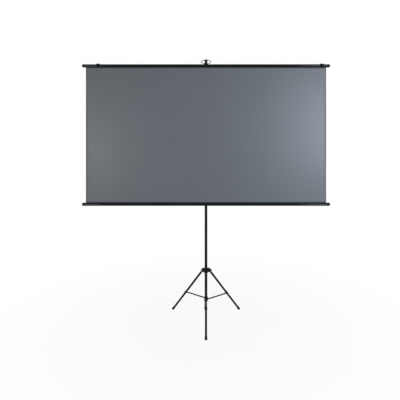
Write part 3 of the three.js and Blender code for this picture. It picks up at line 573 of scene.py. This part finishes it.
FOOT_RING_FLOOR = 0.9 * MM
FOOT_RING_MARGIN = 2 * MM
FOOT_MOUTH_CHAMFER = 0.7 * MM

foot_rubber = bpy.data.materials.new("black_moulded_rubber")
# Moulded rubber is dull, with a grey bloom that gathers in clouds and a slightly pebbled skin.
tree = empty_tree(foot_rubber)
spot = add(tree, "TexCoord").outputs["Object"]
bloom = add(tree, "TexNoise", {"Vector": spot, "Scale": 1 / (11 * MM), "Detail": 6.0}).outputs[0]
pebble = add(tree, "TexNoise", {"Vector": spot, "Scale": 1 / (0.7 * MM), "Detail": 2.0}).outputs[0]
tone = add(tree, "Mix", {0: bloom, 6: linear("#0d0d0d"), 7: linear("#1d1d1e")}, data_type="RGBA").outputs[2]
relief = add(tree, "Bump", {"Strength": 0.25, "Distance": 0.12 * MM, "Height": pebble}).outputs[0]
gloss = add(tree, "MapRange", {"Value": bloom, "To Min": 0.7, "To Max": 0.92}).outputs[0]
skin = add(tree, "BsdfPrincipled", {"Base Color": tone, "Roughness": gloss, "Normal": relief,
                                    "Specular IOR Level": 0.3})
add(tree, "OutputMaterial", {"Surface": skin.outputs[0]})


def leg_plug():
    """The hinge plug below the pivot: a round-ended tongue on a flange, with a spigot in the tube."""
    flange = LEG_TUBE_START - PLUG_FLANGE
    foot = -flange - PLUG_FLANGE / 2
    corner = TONGUE * FULL_ROUND
    outline = [(-TONGUE, foot, 0), (TONGUE, foot, 0), (TONGUE, TONGUE, corner), (-TONGUE, TONGUE, corner)]
    spigot = LEG_RADIUS - TUBE_WALL - FIT
    seat = FIT - LEG_TUBE_START
    end = seat - PLUG_SPIGOT
    body = turned([(0, end), (spigot, end), (spigot, seat), (LEG_RADIUS, seat), (LEG_RADIUS, -flange),
                   (0, -flange)], POLE_SIDES, PLUG_EDGE, closed=False)
    return combined("UNION", body, pressed(outline, TONGUE_WIDTH, PLUG_EDGE))


def leg_clip():
    """The sleeve on the leg, with a flat round pad on one side for the brace's rivet."""
    sleeve = rod(CLIP_RADIUS, -CLIP_HALF, CLIP_HALF, edge=CLIP_EDGE)
    pad = moved(rod(CLIP_PAD, 0, CLIP_FACE, ROUND_SIDES, CLIP_PAD_EDGE), ACROSS_BACK)
    solid = combined("UNION", sleeve, pad)
    bore = rod(CLIP_BORE, -2 * CLIP_HALF, 2 * CLIP_HALF)
    return moved(combined("DIFFERENCE", solid, bore), Matrix.Translation((0, 0, -CLIP_DISTANCE)))


foot_end = LEG_LENGTH - (FOOT_RADIUS * math.sin(leg_spread) - FOOT_FLAT) / math.cos(leg_spread)
tube_end = foot_end - FOOT_CAP


def leg_foot():
    """The rubber cup on the leg's end, with grip rings round it."""
    bore = LEG_RADIUS + FIT
    mouth = FOOT_GRIP - tube_end
    seat = -tube_end - FIT
    line = [(0, -foot_end), (FOOT_RADIUS - FOOT_ROUNDING, -foot_end),
            (FOOT_RADIUS, FOOT_ROUNDING - foot_end)]
    inner = FOOT_RADIUS - FOOT_RING_DEPTH
    low = mouth - FOOT_RINGS * FOOT_RING_PITCH - FOOT_RING_MARGIN
    for ring in range(FOOT_RINGS):
        start = low + ring * FOOT_RING_PITCH
        floor_start = start + FOOT_RING_SLOPE
        floor_end = floor_start + FOOT_RING_FLOOR
        line += [(FOOT_RADIUS, start), (inner, floor_start), (inner, floor_end),
                 (FOOT_RADIUS, floor_end + FOOT_RING_SLOPE)]
    line += [(FOOT_RADIUS - FOOT_MOUTH_CHAMFER, mouth), (bore, mouth), (bore, seat), (0, seat)]
    return turned(line, POLE_SIDES, FOOT_EDGE, closed=False)


def levelled(bm):
    """The foot cut level with the floor and closed there."""
    bmesh.ops.bisect_plane(bm, geom=bm.verts[:] + bm.edges[:] + bm.faces[:], plane_co=(0, 0, 0),
                           plane_no=(0, 0, -1), clear_outer=True)
    bmesh.ops.holes_fill(bm, edges=[e for e in bm.edges if e.is_boundary], sides=0)
    bmesh.ops.recalc_face_normals(bm, faces=bm.faces[:])
    return bm


for side, azimuth in LEG_AZIMUTHS.items():
    pivot = round_pole(azimuth) @ Matrix.Translation((leg_pivot, 0, leg_pivot_z))
    swing = pivot @ Matrix.Rotation(-leg_spread, 4, "Y")
    body = f"leg_{side}"
    form = moved(tube(LEG_RADIUS - TUBE_WALL, LEG_RADIUS, -tube_end, -LEG_TUBE_START), swing)
    piece(f"leg_{side}_tube", form, powder_coat, body, "powder_coat", f"leg_tube_{side}")
    piece(f"leg_{side}_hinge_plug", moved(leg_plug(), swing), black_nylon, body, "moulded_plastic",
          f"leg_plug_{side}")
    piece(f"leg_{side}_brace_clip", moved(leg_clip(), swing), black_nylon, body, "moulded_plastic",
          f"leg_clip_{side}")
    piece(f"leg_{side}_rubber_foot", levelled(moved(leg_foot(), swing)), foot_rubber, body, "foot_rubber",
          f"leg_foot_{side}")
    form = moved(headed_pin(LEG_PIN, LEG_PIN_HEAD, RIVET_RISE, CLEVIS_WIDTH / 2 + FIT), pivot)
    piece(f"leg_{side}_rivet", form, zinc_plate, "leg_collar", "zinc_plate", f"leg_pin_{side}")

# Clamps: nylon sleeves on the tops of the outer and the middle pole. The skirt holds the lower tube
# and the neck guides the sliding one, which the knob's stud presses on.
CLAMP_WALL = 5 * MM
CLAMP_NECK = 28 * MM
CLAMP_GROOVE = 0.8 * MM
CLAMP_GROOVE_HALF = 1.2 * MM
CLAMP_GROOVE_FLOOR = 0.4 * MM

clamp_fits = {
    "lower": ("outer_pole", "middle_pole", "stand_base"),
    "upper": ("middle_pole", "top_pole", "middle_pole"),
}
for name, (lower, slider, body) in clamp_fits.items():
    low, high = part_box(f"{name}_clamp")
    seat = high.z - CLAMP_NECK
    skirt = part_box(lower)[1].x + FIT
    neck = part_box(slider)[1].x + FIT
    outside = skirt - FIT + CLAMP_WALL
    groove = outside - CLAMP_GROOVE
    line = [(skirt, low.z), (outside, low.z), (outside, seat - CLAMP_GROOVE_HALF),
            (groove, seat - CLAMP_GROOVE_FLOOR), (groove, seat + CLAMP_GROOVE_FLOOR),
            (outside, seat + CLAMP_GROOVE_HALF), (outside, high.z), (neck, high.z),
            (neck, seat + FIT), (skirt, seat + FIT)]
    knob_boss = moved(boss(outside - BOSS_ROOT, outside + BOSS_LENGTH),
                      Matrix.Translation((0, 0, seat + CLAMP_NECK / 2)), FACING_BACK)
    form = combined("UNION", turned(line, SPIDER_SIDES, TUBE_EDGE), knob_boss)
    piece(f"{name}_clamp_moulding", moved(form, Matrix.Translation((0, pole_y, 0))), black_nylon, body,
          "moulded_plastic", f"{name}_clamp")

# Locking knobs: star grips of black nylon, moulded on a zinc-plated stud. The stud turns in a brass
# insert in the boss and presses on the tube inside.
KNOB_RADIUS = 13.5 * MM
KNOB_LENGTH = 22 * MM
KNOB_LOBES = 6
KNOB_SIDES = 96
KNOB_FLUTE = 2.6 * MM
KNOB_EDGE = 2 * MM
KNOB_END_RIM = 2.5 * MM
KNOB_RECESS = 0.8 * MM
CLAMP_KNOB_AZIMUTH = 90

brass = bpy.data.materials.new("turned_brass")
# Turned brass is warm and bright, with fine rings from the lathe and a thin tarnish.
tree = empty_tree(brass)
spot = add(tree, "TexCoord").outputs["Object"]
tarnish = add(tree, "TexNoise", {"Vector": spot, "Scale": 1 / (3 * MM), "Detail": 4.0}).outputs[0]
tone = add(tree, "Mix", {0: tarnish, 6: linear("#8f7138"), 7: linear("#c09a55")},
           data_type="RGBA").outputs[2]
gloss = add(tree, "MapRange", {"Value": tarnish, "To Min": 0.25, "To Max": 0.42}).outputs[0]
skin = add(tree, "BsdfPrincipled", {"Base Color": tone, "Metallic": 1.0, "Roughness": gloss})
add(tree, "OutputMaterial", {"Surface": skin.outputs[0]})


def star_knob(start):
    """A fluted knob along +Z from its start, with a shallow recess in its end."""
    bm = bmesh.new()
    bmesh.ops.create_circle(bm, cap_ends=True, segments=KNOB_SIDES, radius=KNOB_RADIUS)
    for corner in bm.verts:
        angle = math.atan2(corner.co.y, corner.co.x)
        flute = KNOB_FLUTE * (1 - math.cos(KNOB_LOBES * angle)) / 2
        corner.co *= 1 - flute / KNOB_RADIUS
    extruded(bm, (0, 0, KNOB_LENGTH))
    rims = [e for e in bm.edges if abs(e.verts[0].co.z - e.verts[1].co.z) < KNOB_LENGTH / 2]
    bmesh.ops.bevel(bm, geom=rims, offset=KNOB_EDGE, segments=4, profile=0.5, affect="EDGES", material=-1)
    end = max(bm.faces, key=lambda face: face.calc_center_median().z)
    bmesh.ops.inset_region(bm, faces=[end], thickness=KNOB_END_RIM, depth=0.0)
    bmesh.ops.inset_region(bm, faces=[end], thickness=KNOB_RECESS, depth=-KNOB_RECESS)
    return moved(bm, Matrix.Translation((0, 0, start)))


knob_places = {
    "leg_collar": (COLLAR_KNOB_AZIMUTH, collar_radius, leg_pivot_z + COLLAR_KNOB_RISE),
}
for name, (lower, _, _) in clamp_fits.items():
    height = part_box(f"{name}_clamp")[1].z - CLAMP_NECK / 2
    knob_places[f"{name}_clamp"] = (CLAMP_KNOB_AZIMUTH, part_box(lower)[1].x + CLAMP_WALL, height)
for name, (azimuth, outside, height) in knob_places.items():
    place = round_pole(azimuth) @ Matrix.Translation((0, 0, height))
    form = moved(star_knob(outside + BOSS_LENGTH + FIT), place, ALONG_X)
    piece(f"{name}_star_knob", form, black_nylon, f"{name}_knob", "moulded_plastic", f"{name}_knob")
    coated(zinc_plate, f"{name}_stud")
    coated(brass, f"{name}_insert")

# Hook head: a nylon moulding pushed on the top pole and held by a screw at the back. Its arm reaches
# forward to a wide hook that carries the ring.
HOOK_GROOVE_HALF = 4 * MM
HOOK_FLOOR = 5 * MM
HOOK_LIP = 6 * MM
HOOK_LIP_RISE = 6 * MM
HOOK_BACK_RISE = 8 * MM
HOOK_WIDTH = 29 * MM
HOOK_ARM_WIDTH = 14 * MM
HOOK_SLEEVE_WALL = 4.3 * MM
HOOK_SLEEVE_GRIP = 42 * MM
HOOK_SLEEVE_EDGE = 1.2 * MM
HOOK_EDGE = 1 * MM
HOOK_CORNER = 2 * MM
HOOK_ARM_INSET = 0.4 * MM
HOOK_ARM_CURVE = 14 * MM
HOOK_ARM_KNEE = 1 / 3
RING_WIRE = 3 * MM

top_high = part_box("top_pole")[1]
ring_low, ring_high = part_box("hanging_ring")
ring_top = ring_high.z - RING_WIRE
groove_z = ring_top - RING_WIRE - FIT
hook_top = ring_top + HOOK_BACK_RISE
floor_z = groove_z - HOOK_FLOOR
lip_top = ring_top + HOOK_LIP_RISE
front = cloth_middle.y - pole_y
back = front + HOOK_GROOVE_HALF + HOOK_LIP
groove_corner = HOOK_GROOVE_HALF * FULL_ROUND
lip_corner = HOOK_LIP / 2 * FULL_ROUND
hook_outline = [
    (back, floor_z, 0), (back, hook_top, HOOK_CORNER),
    (front + HOOK_GROOVE_HALF, hook_top, HOOK_CORNER),
    (front + HOOK_GROOVE_HALF, groove_z, groove_corner),
    (front - HOOK_GROOVE_HALF, groove_z, groove_corner),
    (front - HOOK_GROOVE_HALF, lip_top, lip_corner),
    (front - HOOK_GROOVE_HALF - HOOK_LIP, lip_top, lip_corner),
    (front - HOOK_GROOVE_HALF - HOOK_LIP, floor_z, lip_corner),
]
arm_start = front + HOOK_GROOVE_HALF + HOOK_LIP / 2
sleeve_low = top_high.z - HOOK_SLEEVE_GRIP
arm_low, arm_high = floor_z + HOOK_ARM_INSET, hook_top - HOOK_ARM_INSET
arm_outline = [(arm_start, arm_low, 0), (front * HOOK_ARM_KNEE, arm_low, HOOK_ARM_CURVE), (0, sleeve_low, 0),
               (0, arm_high, 0), (arm_start, arm_high, 0)]
sleeve_bore = top_high.x + FIT
sleeve_radius = top_high.x + HOOK_SLEEVE_WALL
bore_end = top_high.z + FIT
sleeve = turned([(sleeve_bore, sleeve_low), (sleeve_radius, sleeve_low), (sleeve_radius, hook_top),
                 (0, hook_top), (0, bore_end), (sleeve_bore, bore_end)], POLE_SIDES, HOOK_SLEEVE_EDGE)
hook = moved(pressed(hook_outline, HOOK_WIDTH, HOOK_EDGE), FACING_BACK)
arm = moved(pressed(arm_outline, HOOK_ARM_WIDTH, HOOK_EDGE), FACING_BACK)
bore = rod(sleeve_bore, sleeve_low - HOOK_EDGE, bore_end)
form = combined("DIFFERENCE", combined("UNION", sleeve, arm, hook), bore)
form = moved(form, Matrix.Translation((0, pole_y, 0)))
piece("hook_moulding", form, black_nylon, "top_pole", "moulded_plastic", "hook_head")
coated(zinc_plate, "hook_screw")

# Hanging ring: one loop of black-coated wire, bent to a long oval and butt-welded. It lies in the
# hook and runs through the eye of the bracket on the top bar.
RING_HALF_RUN = 17 * MM
RING_STEPS = 14
RING_WIRE_STEPS = 4
QUARTER_HANDLE = 0.5523

ring_y = (ring_high.y + ring_low.y) / 2
ring_z = (ring_high.z + ring_low.z) / 2
half_high = (ring_high.z - ring_low.z) / 2 - RING_WIRE
ring_end = (ring_high.x - ring_low.x) / 2 - RING_WIRE
reach = (ring_end - RING_HALF_RUN) * QUARTER_HANDLE
rise = half_high * QUARTER_HANDLE
wire = bpy.data.curves.new("wire", "CURVE")
wire.dimensions = "3D"
wire.bevel_depth = RING_WIRE
wire.bevel_resolution = RING_WIRE_STEPS
wire.resolution_u = RING_STEPS
bend = wire.splines.new("BEZIER")
bend.use_cyclic_u = True
bend_points = [
    (-RING_HALF_RUN, -half_high, reach, 0), (RING_HALF_RUN, -half_high, reach, 0), (ring_end, 0, 0, rise),
    (RING_HALF_RUN, half_high, -reach, 0), (-RING_HALF_RUN, half_high, -reach, 0), (-ring_end, 0, 0, -rise),
]
bend.bezier_points.add(len(bend_points) - 1)
for point, (x, z, handle_x, handle_z) in zip(bend.bezier_points, bend_points):
    point.handle_left_type = point.handle_right_type = "FREE"
    point.co = (x, ring_y, ring_z + z)
    point.handle_left = (x - handle_x, ring_y, ring_z + z - handle_z)
    point.handle_right = (x + handle_x, ring_y, ring_z + z + handle_z)
bent = bpy.data.objects.new("wire", wire)
swept = bpy.data.meshes.new_from_object(bent)
bm = bmesh.new()
bm.from_mesh(swept)
bpy.data.objects.remove(bent)
bpy.data.curves.remove(wire)
bpy.data.meshes.remove(swept)
bmesh.ops.remove_doubles(bm, verts=bm.verts[:], dist=WELD)
bmesh.ops.recalc_face_normals(bm, faces=bm.faces[:])
piece("hanging_wire_ring", bm, powder_coat, "hanging_ring", "powder_coat", "hanging_ring")

# Top and bottom bars: thin aluminium tubes, slit along one side for the cloth's hem and anodised
# black. Domed plastic caps close their ends.
BAR_WALL = 1.5 * MM
BAR_SLIT = 2.5 * MM
BAR_EDGE = 0.2 * MM
BAR_SIDES = 96
BAND_CORNER = math.radians(60)
CAP_RADIUS = 16 * MM
CAP_LENGTH = 26 * MM
CAP_RIM = 4 * MM
CAP_DOME_STEPS = 12
CAP_GROOVE = 0.5 * MM
CAP_GROOVE_START = 1 * MM
CAP_FLOOR_START = 0.6 * MM
CAP_FLOOR_END = 0.2 * MM
CAP_WALL = 2.5 * MM
CAP_SPIGOT = 8 * MM

black_anodised = bpy.data.materials.new("black_anodised_aluminium")
# Drawn tube, etched and dyed: a satin black metal with faint streaks along its length.
tree = empty_tree(black_anodised)
spot = add(tree, "TexCoord").outputs["Object"]
streak_scale = (1 / (350 * MM), 1 / (0.9 * MM), 1 / (0.9 * MM))
drawn = add(tree, "Mapping", {"Vector": spot, "Scale": streak_scale}).outputs[0]
streak = add(tree, "TexNoise", {"Vector": drawn, "Scale": 1.0, "Detail": 3.0}).outputs[0]
cloud = add(tree, "TexNoise", {"Vector": spot, "Scale": 1 / (120 * MM), "Detail": 3.0}).outputs[0]
tone = add(tree, "Mix", {0: cloud, 6: linear("#191a1c"), 7: linear("#212224")}, data_type="RGBA").outputs[2]
gloss = add(tree, "MapRange", {"Value": streak, "To Min": 0.12, "To Max": 0.2}).outputs[0]
relief = add(tree, "Bump", {"Strength": 0.04, "Distance": 0.05 * MM, "Height": streak}).outputs[0]
skin = add(tree, "BsdfPrincipled", {"Base Color": tone, "Metallic": 1.0, "Roughness": gloss,
                                    "Normal": relief})
add(tree, "OutputMaterial", {"Surface": skin.outputs[0]})


def wrapped(inside, outside, start, turn, width, edge=0.0):
    """A band round X from a start angle in degrees from +Y, rising towards +Z, centred on X = 0."""
    bm = bmesh.new()
    rim = [bm.verts.new((-width / 2, radius, 0)) for radius in (inside, outside)]
    line = bm.edges.new(rim)
    bmesh.ops.rotate(bm, cent=(0, 0, 0), matrix=Matrix.Rotation(math.radians(start), 3, "X"), verts=rim)
    bmesh.ops.spin(bm, geom=rim + [line], cent=(0, 0, 0), axis=(1, 0, 0), angle=math.radians(turn),
                   steps=round(BAR_SIDES * turn / 360))
    extruded(bm, (width, 0, 0))
    if edge:
        sharp = [e for e in bm.edges if e.calc_face_angle(0) > BAND_CORNER]
        bmesh.ops.bevel(bm, geom=sharp, offset=edge, segments=2, profile=0.5, affect="EDGES", material=-1)
    return bm


def bar_cap(bar_radius):
    """A cap along +Z: a short spigot in the tube, a grooved rim and a long dome."""
    spigot = bar_radius - BAR_WALL - FIT
    hollow = spigot - CAP_WALL
    groove = CAP_RADIUS - CAP_GROOVE
    line = [(0, CAP_RIM), (hollow, CAP_RIM), (hollow, -CAP_SPIGOT), (spigot, -CAP_SPIGOT), (spigot, FIT),
            (CAP_RADIUS, FIT), (CAP_RADIUS, CAP_RIM - CAP_GROOVE_START), (groove, CAP_RIM - CAP_FLOOR_START),
            (groove, CAP_RIM - CAP_FLOOR_END)]
    for step in range(CAP_DOME_STEPS + 1):
        angle = math.pi / 2 * step / CAP_DOME_STEPS
        line.append((CAP_RADIUS * math.cos(angle), CAP_RIM + (CAP_LENGTH - CAP_RIM) * math.sin(angle)))
    line[-1] = (0, CAP_LENGTH)
    return turned(line, POLE_SIDES, closed=False)


for name, body, slit_angle in (("top_bar", "screen", -90), ("bottom_bar", "bottom_bar", 90)):
    low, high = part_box(name)
    bar_radius = (high.y - low.y) / 2
    axis_place = Matrix.Translation((0, (low.y + high.y) / 2, (low.z + high.z) / 2))
    half = math.degrees(math.asin(BAR_SLIT / 2 / bar_radius))
    form = wrapped(bar_radius - BAR_WALL, bar_radius, slit_angle + half, 360 - 2 * half, high.x - low.x,
                   BAR_EDGE)
    piece(f"{name}_slit_tube", moved(form, axis_place), black_anodised, body, "bar_anodised", name)
    for side, turn in (("right", ALONG_X), ("left", Matrix.Rotation(-math.pi / 2, 4, "Y"))):
        end = high.x if side == "right" else low.x
        form = moved(bar_cap(bar_radius), axis_place, Matrix.Translation((end, 0, 0)), turn)
        piece(f"{name}_{side}_end_cap", form, black_nylon, body, "moulded_plastic", f"{name}_cap_{side}")

# Hanging bracket: a powder-coated steel band bent round the top bar, with a narrower strip on top that
# is bent into an eye for the ring.
EYE_WIDTH = 27 * MM
EYE_STEPS = 24
WRAP_WIDTH = 46 * MM
WRAP_TURN = 230
BRACKET_SHEET = 2 * MM
BRACKET_EDGE = 0.4 * MM

low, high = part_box("top_bar")
bar_radius = (high.y - low.y) / 2
bar_place = Matrix.Translation((0, (low.y + high.y) / 2, (low.z + high.z) / 2))
eye_z = ring_low.z + RING_WIRE - (low.z + high.z) / 2
eye_inside = RING_WIRE + FIT
foot = bar_radius + FIT
bm = bmesh.new()
rim = [bm.verts.new((-EYE_WIDTH / 2, y, foot)) for y in (eye_inside, eye_inside + BRACKET_SHEET)]
line = [bm.edges.new(rim)]
# The strip goes up on one side, round the wire and down on the other.
for bent in (False, True, False):
    if bent:
        grown = bmesh.ops.spin(bm, geom=rim + line, cent=(0, 0, eye_z), axis=(1, 0, 0), angle=math.pi,
                               steps=EYE_STEPS)["geom_last"]
    else:
        grown = bmesh.ops.extrude_edge_only(bm, edges=line)["geom"]
    rim = [v for v in grown if isinstance(v, bmesh.types.BMVert)]
    line = [e for e in grown if isinstance(e, bmesh.types.BMEdge) and all(v in rim for v in e.verts)]
    if not bent:
        climb = eye_z - foot if rim[0].co.y > 0 else foot - eye_z
        bmesh.ops.translate(bm, vec=(0, 0, climb), verts=rim)
extruded(bm, (EYE_WIDTH, 0, 0))
wrap = wrapped(foot, foot + BRACKET_SHEET, 90 - WRAP_TURN / 2, WRAP_TURN, WRAP_WIDTH, BRACKET_EDGE)
form = moved(combined("UNION", wrap, bm), bar_place)
piece("hanging_bracket_strip", form, powder_coat, "screen", "powder_coat", "hanging_bracket")

# Tie straps: hook-and-loop webbing, wrapped once round the top bar with its ends pressed on top. They
# hold the cloth when it is rolled up.
STRAP_THICKNESS = 2 * MM
STRAP_GAP = 40
STRAP_TAILS = 2
STRAP_TAIL_TURN = 62
STRAP_TAIL_STEP = 5
STRAP_TAIL_TAPER = 1.2 * MM
STRAP_LAYER = 1.7 * MM
STRAP_SINK = 0.2 * MM
STRAP_EDGE = 0.35 * MM
RIB_PITCH = 1 * MM
WAVE_PITCH = 2 * math.pi / 20

strap_webbing = bpy.data.materials.new("black_hook_and_loop_webbing")
# Woven nylon tape: ribs run across it, and a matt nap of tiny loops covers its face. The ribs are
# drawn at twice their real pitch so that they show.
tree = empty_tree(strap_webbing)
spot = add(tree, "TexCoord").outputs["Object"]
# At a scale of 1 the wave's bands are WAVE_PITCH apart.
rib = add(tree, "TexWave", {"Vector": spot, "Scale": WAVE_PITCH / RIB_PITCH, "Distortion": 0.6},
          bands_direction="X").outputs[1]
nap = add(tree, "TexNoise", {"Vector": spot, "Scale": 1 / (0.6 * MM), "Detail": 4.0}).outputs[0]
height = add(tree, "Math", {0: rib, 1: nap}, operation="ADD").outputs[0]
tone = add(tree, "Mix", {0: nap, 6: linear("#080808"), 7: linear("#171718")}, data_type="RGBA").outputs[2]
relief = add(tree, "Bump", {"Strength": 0.5, "Distance": 0.2 * MM, "Height": height}).outputs[0]
skin = add(tree, "BsdfPrincipled", {"Base Color": tone, "Roughness": 0.95, "Normal": relief,
                                    "Sheen Weight": 0.15, "Sheen Roughness": 0.5,
                                    "Specular IOR Level": 0.15})
add(tree, "OutputMaterial", {"Surface": skin.outputs[0]})

for side in ("left", "right"):
    low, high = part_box(f"tie_strap_{side}")
    width = high.x - low.x
    inside = bar_radius + FIT
    outside = inside + STRAP_THICKNESS
    layers = [wrapped(inside, outside, STRAP_GAP / 2 - 90, 360 - STRAP_GAP, width, STRAP_EDGE)]
    for layer in range(STRAP_TAILS):
        start = outside + layer * STRAP_LAYER - STRAP_SINK
        turn = STRAP_TAIL_TURN - layer * STRAP_TAIL_STEP
        layers.append(wrapped(start, start + STRAP_LAYER, 90 - STRAP_TAIL_TURN / 2 + layer * STRAP_TAIL_STEP,
                              turn, width - layer * STRAP_TAIL_TAPER, STRAP_EDGE))
    middle = Matrix.Translation(((low.x + high.x) / 2, 0, 0))
    form = moved(combined("UNION", *layers), bar_place, middle)
    piece(f"{side}_hook_and_loop_strap", form, strap_webbing, "screen", "strap_webbing",
          f"tie_strap_{side}")

# Cloth: grey projection cloth, a polyester weave with a matt grey coating. Each hem is welded round
# a rod, which the slit of the bar holds back, and the long sides hang free and curl back a little. The
# lower hem goes up with its bar.
CLOTH_THICKNESS = 0.5 * MM
CLOTH_COLUMNS = 164
CLOTH_ROWS = 92
HEM_TURN = 338
HEM_STEPS = 12
CURL_WIDTH = 45 * MM
CURL_DEPTH = 3.2 * MM
RIPPLE = 1.1 * MM
RIPPLE_WAVES = ((5.1, 1.3, 0.0), (0.7, 2.3, 0.4))
STRAIGHT_RUN = 120 * MM
THREAD = 1.6 * MM

screen_cloth = bpy.data.materials.new("grey_coated_projection_cloth")
# A plain weave under a matt grey coating: even in colour, with a faint cloud in the coating and a
# soft broad sheen. The threads are drawn about three times as coarse as they are, to show.
tree = empty_tree(screen_cloth)
spot = add(tree, "TexCoord").outputs["Object"]
weft, warp = (add(tree, "TexWave", {"Vector": spot, "Scale": WAVE_PITCH / THREAD, "Distortion": 0.3},
                  bands_direction=across).outputs[1] for across in "ZX")
weave = add(tree, "Math", {0: weft, 1: warp}, operation="MULTIPLY").outputs[0]
cloud = add(tree, "TexNoise", {"Vector": spot, "Scale": 1 / (300 * MM), "Detail": 4.0}).outputs[0]
fleck = add(tree, "TexNoise", {"Vector": spot, "Scale": 1 / (2.5 * MM), "Detail": 2.0}).outputs[0]
base = add(tree, "Mix", {0: cloud, 6: linear("#5f6468"), 7: linear("#696e73")}, data_type="RGBA").outputs[2]
tone = add(tree, "Mix", {0: fleck, 6: base, 7: linear("#64686d")}, data_type="RGBA").outputs[2]
relief = add(tree, "Bump", {"Strength": 0.1, "Distance": 0.12 * MM, "Height": weave}).outputs[0]
gloss = add(tree, "MapRange", {"Value": fleck, "To Min": 0.38, "To Max": 0.46}).outputs[0]
skin = add(tree, "BsdfPrincipled", {"Base Color": tone, "Roughness": gloss, "Normal": relief,
                                    "Specular IOR Level": 0.5})
add(tree, "OutputMaterial", {"Surface": skin.outputs[0]})

rods = {"top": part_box("top_hem_rod"), "bottom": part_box("bottom_hem_rod")}
rod_z = {end: (low.z + high.z) / 2 for end, (low, high) in rods.items()}
hem_radius = (rods["top"][1].z - rods["top"][0].z) / 2 + FIT + CLOTH_THICKNESS / 2
half_width = (cloth_high.x - cloth_low.x) / 2
run_top = rod_z["top"] - hem_radius
run_bottom = rod_z["bottom"] + hem_radius
visible_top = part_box("top_bar")[0].z
visible_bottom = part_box("bottom_bar")[1].z
bm = bmesh.new()
bmesh.ops.create_grid(bm, x_segments=CLOTH_COLUMNS, y_segments=CLOTH_ROWS, size=0.5)
moved(bm, Matrix.Translation((0, cloth_middle.y, (run_top + run_bottom) / 2)), ACROSS_BACK,
      Matrix.Diagonal((2 * half_width, run_top - run_bottom, 1, 1)))
for corner in bm.verts:
    x, _, z = corner.co
    slack = min(1.0, max(0.0, min(visible_top - z, z - visible_bottom) / STRAIGHT_RUN))
    curl = max(0.0, abs(x) - half_width + CURL_WIDTH) / CURL_WIDTH
    ripple = math.prod(math.sin(across * x + down * z + start) for across, down, start in RIPPLE_WAVES)
    corner.co.y += slack * (CURL_DEPTH * curl ** 2 + RIPPLE * ripple)
bmesh.ops.recalc_face_normals(bm, faces=bm.faces[:])
cloth = piece("projection_cloth", bm, screen_cloth, "screen", "screen_cloth", "screen_fabric", rigid=False)
hems = []
for end, body, height, turn in (("top", "screen", run_top, HEM_TURN),
                                ("bottom", "bottom_bar", run_bottom, -HEM_TURN)):
    bm = bmesh.new()
    ends = [bm.verts.new((x, cloth_middle.y, height)) for x in (-half_width, half_width)]
    line = bm.edges.new(ends)
    bmesh.ops.spin(bm, geom=ends + [line], cent=(0, cloth_middle.y, rod_z[end]), axis=(1, 0, 0),
                   angle=math.radians(turn), steps=HEM_STEPS)
    bmesh.ops.remove_doubles(bm, verts=bm.verts[:], dist=WELD)
    bmesh.ops.recalc_face_normals(bm, faces=bm.faces[:])
    hems.append(piece(f"{end}_hem_sleeve", bm, screen_cloth, body, "screen_cloth", rigid=False))
for layer in (cloth, *hems):
    thick = layer.modifiers.new("thickness", "SOLIDIFY")
    thick.thickness = CLOTH_THICKNESS
    thick.offset = 0
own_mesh(cloth)
coated(natural_nylon, "top_hem_rod", "bottom_hem_rod")
